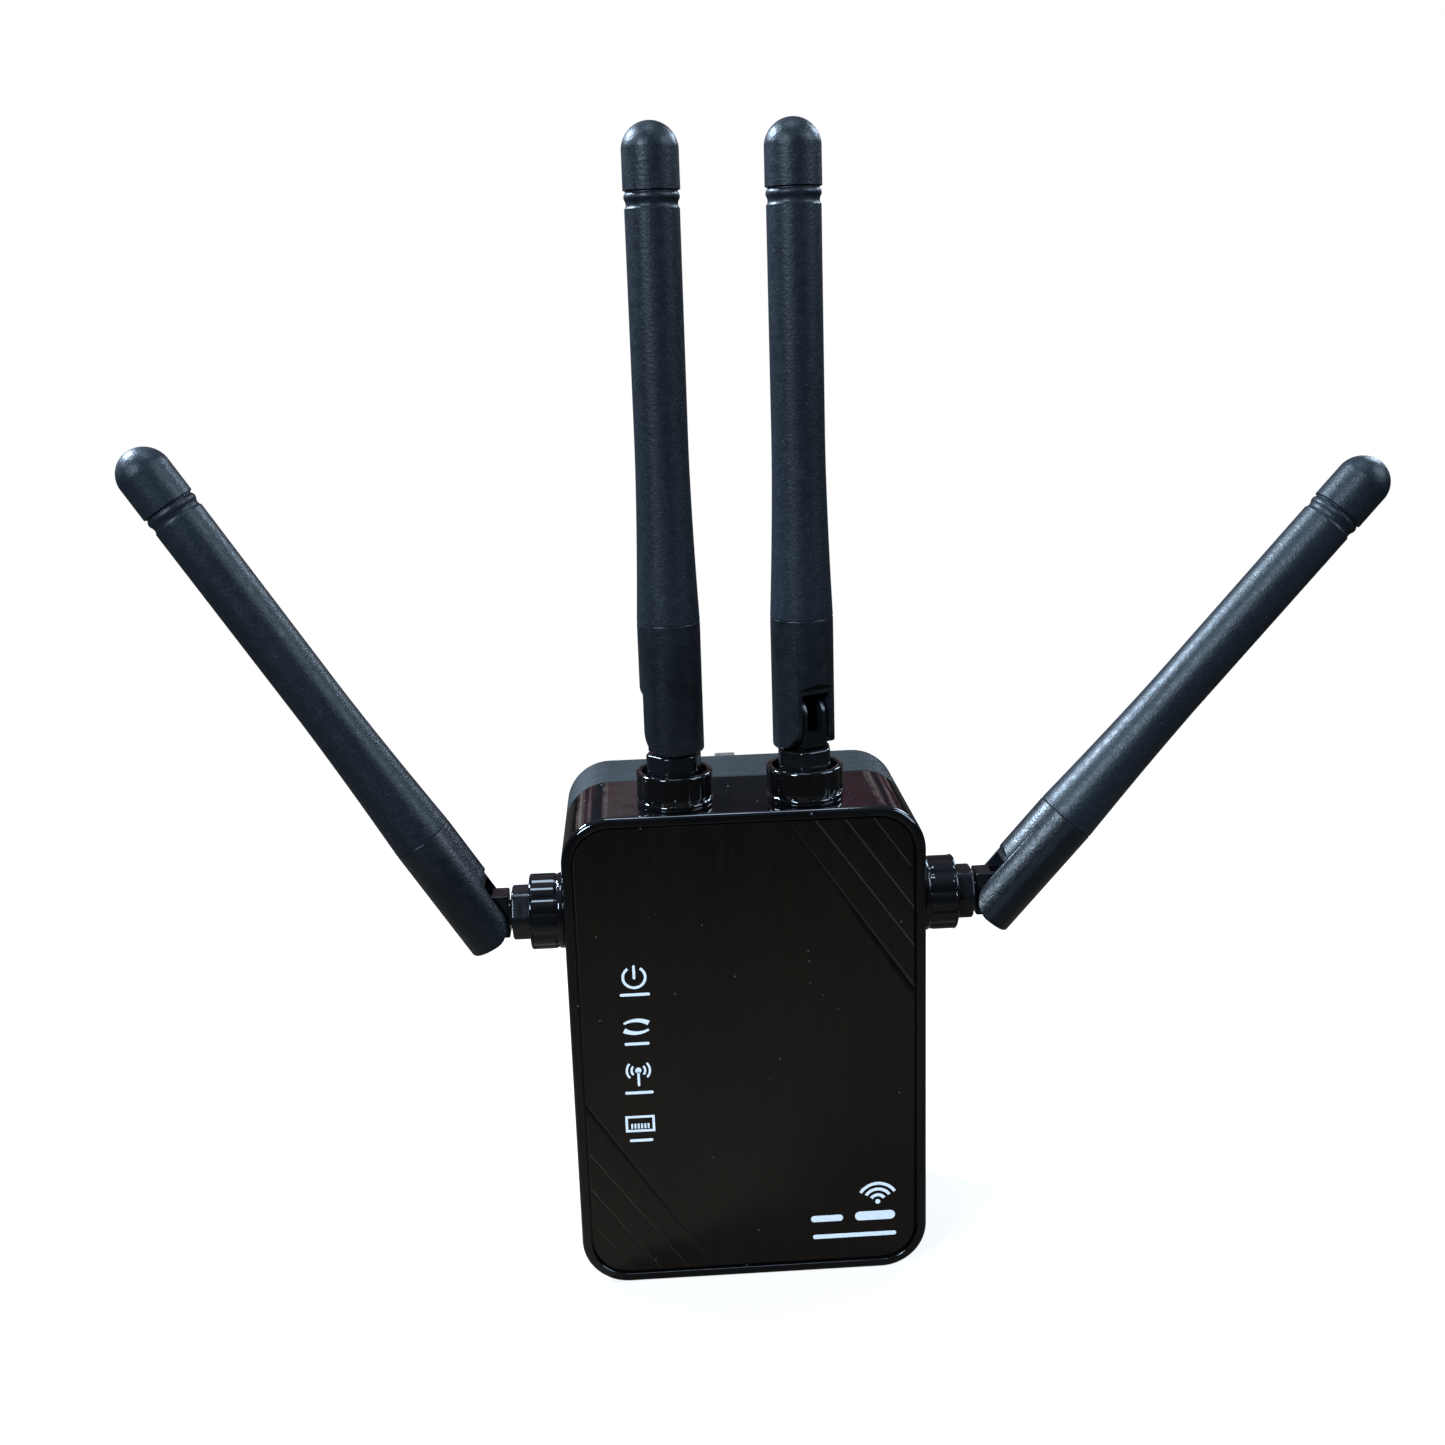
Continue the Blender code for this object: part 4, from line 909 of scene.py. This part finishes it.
def print_pieces():
    """The signs beside the status lights, the wave sign in the corner, and bars for captions."""
    marks = {
        "power_print": power_mark(ICON_X, ICON_Z[0]),
        "pairing_print": pairing_mark(ICON_X, ICON_Z[1]),
        "signal_print": signal_mark(ICON_X, ICON_Z[2]),
        "port_print": port_mark(ICON_X - 0.1, ICON_Z[3]),
        "wave_print": wave_mark(21.5, -29.65),
    }
    for name, bodies in marks.items():
        piece(name, merged(bodies), "print_ink")
    captions = [((ICON_X, z - 3.1), width, 0.5) for z, width in zip(ICON_Z, (5.0, 4.2, 4.8, 4.0))]
    captions += [((12.6, -32.4), 5.6, 1.2), ((21.0, -32.3), 7.0, 1.7), ((17.4, -35.9), 14.6, 0.8)]
    bars = [ink_bar(centre, width, height) for centre, width, height in captions]
    piece("caption_print", merged(bars), "print_ink")


# --- Antenna pieces, in the socket's or the arm's frame ------------------------------------


def fluted(radius, depth, z, count):
    """A loop of bulging lobes with narrow grooves between them."""

    def radius_at(angle):
        swell = abs(cos(FLUTES / 2 * (angle - FLUTE_START))) ** 0.5
        return radius - depth * (1 - swell)

    return ring(radius_at, z, count)


def collar():
    """The fixed fluted cup on a round foot, with a spigot through the shell's wall."""
    count = FLUTES * 10
    # (inset in mm, share of the flutes' depth, height in mm): the foot, its neck, the flutes, the lip
    outline = [(0.2, 0.0, 0.03), (0.06, 0.0, 0.1), (0.0, 0.0, 0.28), (0.0, 0.0, 0.8), (0.08, 0.0, 1.0)]
    outline += [(0.2, 0.4, 1.1), (0.18, 0.75, 1.25), (0.06, 1.0, 1.5), (0.0, 1.0, 1.9), (0.0, 1.0, 5.2)]
    outline += [(0.0, 0.8, 5.3), (0.0, 0.0, 5.45), (0.06, 0.0, 5.62), (0.2, 0.0, 5.74)]
    outside = [
        fluted(CUP_RADIUS - inset * MM, FLUTE_DEPTH * share, z * MM, count) for inset, share, z in outline
    ]
    outside.append(circle(CUP_BORE + 0.35 * MM, CUP_HEIGHT, count))
    inside = [
        circle(CUP_BORE + 0.08 * MM, 5.72 * MM, count),
        circle(CUP_BORE, 5.55 * MM, count),
        circle(CUP_BORE, CUP_FLOOR + 0.3 * MM, count),
        circle(CUP_BORE - 0.3 * MM, CUP_FLOOR, count),
        circle(STEM_RADIUS + GAP, CUP_FLOOR, count),
        circle(STEM_RADIUS + GAP, -WALL, count),
        circle(SPIGOT_RADIUS, -WALL, count),
        circle(SPIGOT_RADIUS, 0.03 * MM, count),
    ]
    return loft(outside + inside, closed=True)


def hexagon(inset, z, count):
    """A hexagon whose corners are turned down to a circle."""

    def radius_at(angle):
        from_flat = (angle + pi / 6) % (pi / 3) - pi / 6
        return min(HEX_APOTHEM / cos(from_flat), HEX_RADIUS) - inset

    return ring(radius_at, z, count)


def knuckle(pivot):
    """The swivelling piece: stem, hexagonal collar, neck and the block with its trunnions."""
    count = 72
    bottom = CUP_FLOOR + GAP
    groove_top, groove_low = -WALL - GAP, -WALL - GAP - 1.0 * MM
    loops = [
        circle(STEM_RADIUS - 0.3 * MM, STEM_BOTTOM, count),
        circle(STEM_RADIUS, STEM_BOTTOM + 0.3 * MM, count),
        circle(STEM_RADIUS, groove_low, count),
        circle(1.85 * MM, groove_low, count),
        circle(1.85 * MM, groove_top, count),
        circle(STEM_RADIUS, groove_top, count),
        circle(STEM_RADIUS, bottom, count),
        hexagon(0.3 * MM, bottom, count),
        hexagon(0.0, bottom + 0.3 * MM, count),
        *[hexagon(inset * MM, HEX_TOP - down * MM, count) for inset, down in HEX_ROUND],
        circle(NECK_RADIUS + 0.3 * MM, HEX_TOP, count),
        circle(NECK_RADIUS, HEX_TOP + 0.3 * MM, count),
        circle(NECK_RADIUS, BLOCK_BOTTOM + 0.5 * MM, count),
    ]
    outline = [(BLOCK_HALF_DEPTH, BLOCK_BOTTOM), (BLOCK_HALF_DEPTH, pivot)]
    for i in range(1, 24):
        angle = pi * i / 24
        outline.append((BLOCK_HALF_DEPTH * cos(angle), pivot + BLOCK_HALF_DEPTH * sin(angle)))
    outline += [(-BLOCK_HALF_DEPTH, pivot), (-BLOCK_HALF_DEPTH, BLOCK_BOTTOM)]
    block = bevelled(prism_y(outline, BLOCK_HALF_WIDTH), 0.25 * MM)
    window = box(
        (-BLOCK_HALF_DEPTH - OVER, BLOCK_HALF_DEPTH + OVER),
        (-WINDOW_HALF_WIDTH, WINDOW_HALF_WIDTH),
        (pivot - 2.2 * MM, pivot + BLOCK_HALF_DEPTH + OVER),
    )
    block = boolean(block, bevelled(window, 0.3 * MM))
    body = boolean(loft(loops), block, "UNION")
    trunnions = []
    for sign in (-1, 1):
        root = (0, sign * (BLOCK_HALF_WIDTH - 0.4 * MM), pivot)
        trunnions.append(rod(TRUNNION_RADIUS, root, (0, sign * TRUNNION_REACH, pivot), 32))
    return boolean(body, merged(trunnions), "UNION")


def antenna_base():
    """The forked base: a slot for the knuckle, flat-cut rounded ears and a spigot."""
    end_round = 0.6 * MM
    profile = [
        (BASE_RADIUS - end_round * (1 - sine), BASE_END + end_round * (1 - cosine)) for sine, cosine in arc(5)
    ]
    profile += [
        (BASE_RADIUS, BASE_SEAM - 0.2 * MM),
        (BASE_RADIUS - 0.1 * MM, BASE_SEAM - 0.04 * MM),
        (3.3 * MM, BASE_SEAM - 0.04 * MM),
        (3.3 * MM, BASE_SEAM + SPIGOT_LENGTH),
    ]
    outside = BASE_RADIUS + OVER
    low = BASE_END - OVER
    slot = box((-BLOCK_HALF_DEPTH - GAP, outside), (-SLOT_HALF_WIDTH, SLOT_HALF_WIDTH), (low, SLOT_TOP))
    body = boolean(turned(profile, 96), slot)
    shaved = [(EAR_FLAT, low), (outside, low), (outside, EAR_FLAT_TOP + 1.9 * MM)]
    shaved += [(BASE_RADIUS, EAR_FLAT_TOP + 1.0 * MM), (EAR_FLAT, EAR_FLAT_TOP)]
    body = boolean(body, prism_y(shaved, outside))
    centre = (EAR_FLAT - EAR_ROUND, BASE_END + EAR_ROUND)
    corner = []
    for i in range(17):
        angle = radians(-90 + 90 * i / 16)
        across, up = EAR_ROUND * cos(angle), EAR_ROUND * sin(angle)
        corner.append((centre[0] + across, centre[1] + up))
    corner += [(outside, centre[1]), (outside, low), (centre[0], low)]
    body = boolean(body, prism_y(corner, outside))
    channel_end = BASE_SEAM + SPIGOT_LENGTH + OVER
    channel = rod(CHANNEL_RADIUS, (0, 0, SLOT_TOP - OVER), (0, 0, channel_end), 24)
    reach = TRUNNION_REACH + GAP
    hinge = rod(TRUNNION_RADIUS + 0.15 * MM, (0, -reach, 0), (0, reach, 0), 32)
    return boolean(body, merged([channel, hinge]))


def sleeve_radius(s):
    """The sleeve's outer radius: flared at the base, straight above."""
    if s >= FLARE_END:
        return SHAFT_RADIUS
    share = (FLARE_END - s) / (FLARE_END - BASE_SEAM)
    return SHAFT_RADIUS + (BASE_RADIUS - SHAFT_RADIUS) * share**1.6


def ring_groove(start, end, before, after):
    """Profile points of a rounded groove between two heights."""
    points = []
    for i in range(9):
        share = i / 8
        edge = before + (after - before) * share
        dip = sin(pi * share) ** 0.7
        points.append((edge - (edge - RING_GROOVE_RADIUS) * dip, start + (end - start) * share))
    return points


def antenna_sleeve():
    """The soft sleeve: flared start, long shaft, two ring grooves and a round tip."""
    start = BASE_SEAM + 0.04 * MM
    bore = 3.6 * MM
    profile = [
        (2.4 * MM, 82.0 * MM),
        (2.4 * MM, BASE_SEAM + SPIGOT_LENGTH + GAP),
        (bore, BASE_SEAM + SPIGOT_LENGTH + GAP),
        (bore, start),
        (BASE_RADIUS - 0.08 * MM, start),
        (BASE_RADIUS - 0.01 * MM, start + 0.12 * MM),
    ]
    for i in range(1, 15):
        s = start + 0.12 * MM + (FLARE_END - start) * i / 14
        profile.append((sleeve_radius(s), s))
    bead_radius = CAP_RADIUS - 0.1 * MM
    middle, half = (BEAD[0] + BEAD[1]) / 2, (BEAD[1] - BEAD[0]) / 2
    profile += ring_groove(SHAFT_END, BEAD[0], SHAFT_RADIUS, bead_radius - 0.15 * MM)
    for i in range(1, 8):
        share = i / 4 - 1
        profile.append((bead_radius - 0.15 * MM * share**2, middle + half * share))
    profile += ring_groove(BEAD[1], CAP_START, bead_radius - 0.15 * MM, CAP_RADIUS)
    dome = ANTENNA_TIP - CAP_RADIUS
    for i in range(1, 16):
        angle = radians(90 * i / 16)
        profile.append((CAP_RADIUS * cos(angle), dome + CAP_RADIUS * sin(angle)))
    return turned(profile, 80)


# --- Assembly --------------------------------------------------------------------------


def build_body():
    piece("case_front", case_front(), "gloss_black", replaced=("front_shell",))
    piece("panel_face", panel(), "panel_black", replaced=("front_panel",))
    piece("case_rear", case_rear(), "matte_slate", replaced=("rear_shell",))
    piece("port_face", port_plate(), "gloss_black", replaced=("port_plate",))
    waist = (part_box("live_pin_sleeve")[1].y + GAP, 0.6 * MM)
    for name in ("live_pin", "neutral_pin"):
        piece(f"{name}_blade", plug_pin(name, waist), "nickel", replaced=(name,))
        piece(f"{name}_cover", pin_sleeve(name), "black_plastic", replaced=(f"{name}_sleeve",))
    piece("earth_pin_blade", plug_pin("earth_pin"), "nickel", replaced=("earth_pin",))
    for number, (x, z) in enumerate(SCREW_PLACES, 1):
        place = Matrix.Translation((x, 0, z))
        piece(f"screw_{number}", case_screw(), "steel", replaced=(f"case_screw_{number}",), place=place)
    for side in ("left", "right"):
        piece(f"contacts_{side}", jack_contacts(f"jack_{side}"), "brass")
    piece("pairing_cap", pairing_button(), "gloss_black", "pairing_button", ("pairing_button",))
    piece("mode_slider", mode_knob(), "black_plastic", "mode_knob", ("mode_knob",))


def build_antennas():
    for name, (socket, arm, swivel, antenna, pivot) in SOCKETS.items():
        piece(f"{name}_cup", collar(), "gloss_black", "root", (f"{name}_collar",), socket)
        piece(f"{name}_swivel_block", knuckle(pivot), "hinge_black", swivel, (f"{name}_knuckle",), socket)
        piece(f"{name}_fork", antenna_base(), "antenna_plastic", antenna, (f"{name}_base",), arm)
        piece(f"{name}_shaft", antenna_sleeve(), "antenna_rubber", antenna, (f"{name}_sleeve",), arm)


def dress_frame():
    """Give each CAD node that still shows the procedural finish of its slot."""
    for node in frame["nodes"].values():
        if node.hide_render:
            continue
        for material_slot in node.material_slots:
            name = material_slot.material.name.split(".")[0]
            material_slot.material = MATERIALS[name]


# --- Stage, camera and light -----------------------------------------------------------


def cleared_tree(owner):
    owner.use_nodes = True
    owner.node_tree.nodes.clear()
    return owner.node_tree


def add_ramp(tree, value, stops):
    """A value's colour on a ramp through (position, colour) stops."""
    ramp = add_node(tree, "ValToRGB", {"Fac": value})
    elements = ramp.color_ramp.elements
    for element, (position, colour) in zip(elements, (stops[0], stops[-1])):
        element.position = position
        element.color = (*colour, 1.0)
    for position, colour in stops[1:-1]:
        elements.new(position).color = (*colour, 1.0)
    return ramp.outputs["Color"]


def split_by_ray(tree, unseen, seen):
    """One shader to the camera, and another to every other ray."""
    ray = add_node(tree, "LightPath").outputs["Is Camera Ray"]
    return add_node(tree, "MixShader", {"Fac": ray, 1: unseen, 2: seen}).outputs["Shader"]


def build_floor():
    """A pale floor that fades to white away from the object, and that the object sees dimly."""
    bpy.ops.mesh.primitive_circle_add(
        vertices=96, radius=FLOOR_RADIUS, fill_type="NGON", location=(0, -0.02, cad_bounds[0].z)
    )
    floor = bpy.context.object
    floor.name = "floor"
    material = bpy.data.materials.new("floor")
    tree = cleared_tree(material)
    place = add_node(tree, "TexCoord").outputs["Object"]
    length = add_node(tree, "VectorMath", {0: place}, operation="LENGTH").outputs["Value"]
    limits = {"Value": length, "From Min": 0.08, "From Max": 0.35, "To Min": 0.8}
    fade = add_node(tree, "MapRange", limits, interpolation_type="SMOOTHSTEP")
    pale = add_node(tree, "BsdfDiffuse", {"Color": (0.93, 0.93, 0.93, 1)})
    white = add_node(tree, "Emission", {"Color": WHITE})
    shares = {"Fac": fade.outputs["Result"], 1: pale.outputs["BSDF"], 2: white.outputs["Emission"]}
    seen = add_node(tree, "MixShader", shares)
    warm = add_ramp(tree, length, [(0.04, (0.115, 0.088, 0.064)), (0.25, (0.024, 0.018, 0.013))])
    dim = add_node(tree, "BsdfDiffuse", {"Color": warm})
    surface = split_by_ray(tree, dim.outputs["BSDF"], seen.outputs["Shader"])
    add_node(tree, "OutputMaterial", {"Surface": surface})
    floor.data.materials.append(material)


def build_world():
    """White to the camera; to the object, a dim room with a brighter ceiling and a patchy back."""
    world = bpy.data.worlds.new("studio")
    SCENE.world = world
    tree = cleared_tree(world)
    direction = add_node(tree, "TexCoord").outputs["Generated"]
    split = add_node(tree, "SeparateXYZ", {"Vector": direction})
    heights = [(0.0, (0.022, 0.024, 0.028)), (0.5, (0.04, 0.05, 0.062)), (0.95, (0.22, 0.27, 0.34))]
    room = add_ramp(tree, split.outputs["Z"], heights)
    blotch = add_node(tree, "TexNoise", {"Vector": direction, "Scale": 13.0, "Detail": 3.0})
    shades = [(0.42, (0.0, 0.0, 0.0)), (0.53, (0.12, 0.035, 0.05)), (0.68, (0.50, 0.50, 0.50))]
    patches = add_ramp(tree, blotch.outputs["Fac"], shades)
    limits = {"Value": split.outputs["Y"], "From Min": 0.4, "From Max": 0.8}
    back = add_node(tree, "MapRange", limits).outputs["Result"]
    both = add_node(tree, "Mix", {0: back}, data_type="RGBA", blend_type="ADD")
    tree.links.new(room, both.inputs[6])
    tree.links.new(patches, both.inputs[7])
    glow = add_node(tree, "Background", {"Color": both.outputs[2]})
    white = add_node(tree, "Background", {"Color": WHITE})
    surface = split_by_ray(tree, glow.outputs["Background"], white.outputs["Background"])
    add_node(tree, "OutputWorld", {"Surface": surface})


def softbox(name, place, size, power):
    light = bpy.data.lights.new(name, "AREA")
    light.shape = "SQUARE"
    light.size = size
    light.energy = power
    light.color = LIGHT_COLOUR
    obj = bpy.data.objects.new(name, light)
    SCENE.collection.objects.link(obj)
    obj.location = place
    obj.rotation_euler = (Vector(LIGHT_TARGET) - Vector(place)).to_track_quat("-Z", "Y").to_euler()
    obj.visible_camera = False


def build_lights():
    """A main light in front on the left, and a rim of smaller ones behind, beside and above."""
    softbox("front_left", (-0.73, -0.98, 0.66), 0.35, 27.0)
    softbox("left_back", (-0.66, 0.385, 0.70), 0.15, 32.0)
    softbox("right", (0.86, -0.28, 0.63), 0.6, 11.0)
    softbox("right_back", (0.69, 0.63, 0.60), 0.3, 7.0)
    softbox("overhead", (0.0, 0.0, 1.1), 0.3, 4.0)


def build_camera():
    """The view from a little above and to the left, with a slight roll."""
    pitch, yaw, roll = (radians(angle) for angle in CAMERA_ANGLES)
    forward = Vector((sin(yaw) * cos(pitch), cos(yaw) * cos(pitch), -sin(pitch)))
    level = Vector((cos(yaw), -sin(yaw), 0.0))
    right = cos(roll) * level + sin(roll) * level.cross(forward)
    up = right.cross(forward)
    data = bpy.data.cameras.new("camera")
    data.sensor_width = 36.0
    data.lens = CAMERA_LENS
    data.clip_start, data.clip_end = 0.01, 50.0
    camera = bpy.data.objects.new("camera", data)
    SCENE.collection.objects.link(camera)
    rotation = Matrix((right, up, -forward)).transposed().to_4x4()
    camera.matrix_world = Matrix.Translation(CAMERA_PLACE) @ rotation
    SCENE.camera = camera


build_body()
print_pieces()
build_antennas()
dress_frame()
build_floor()
build_world()
build_lights()
build_camera()
SCENE.view_settings.view_transform = "Standard"
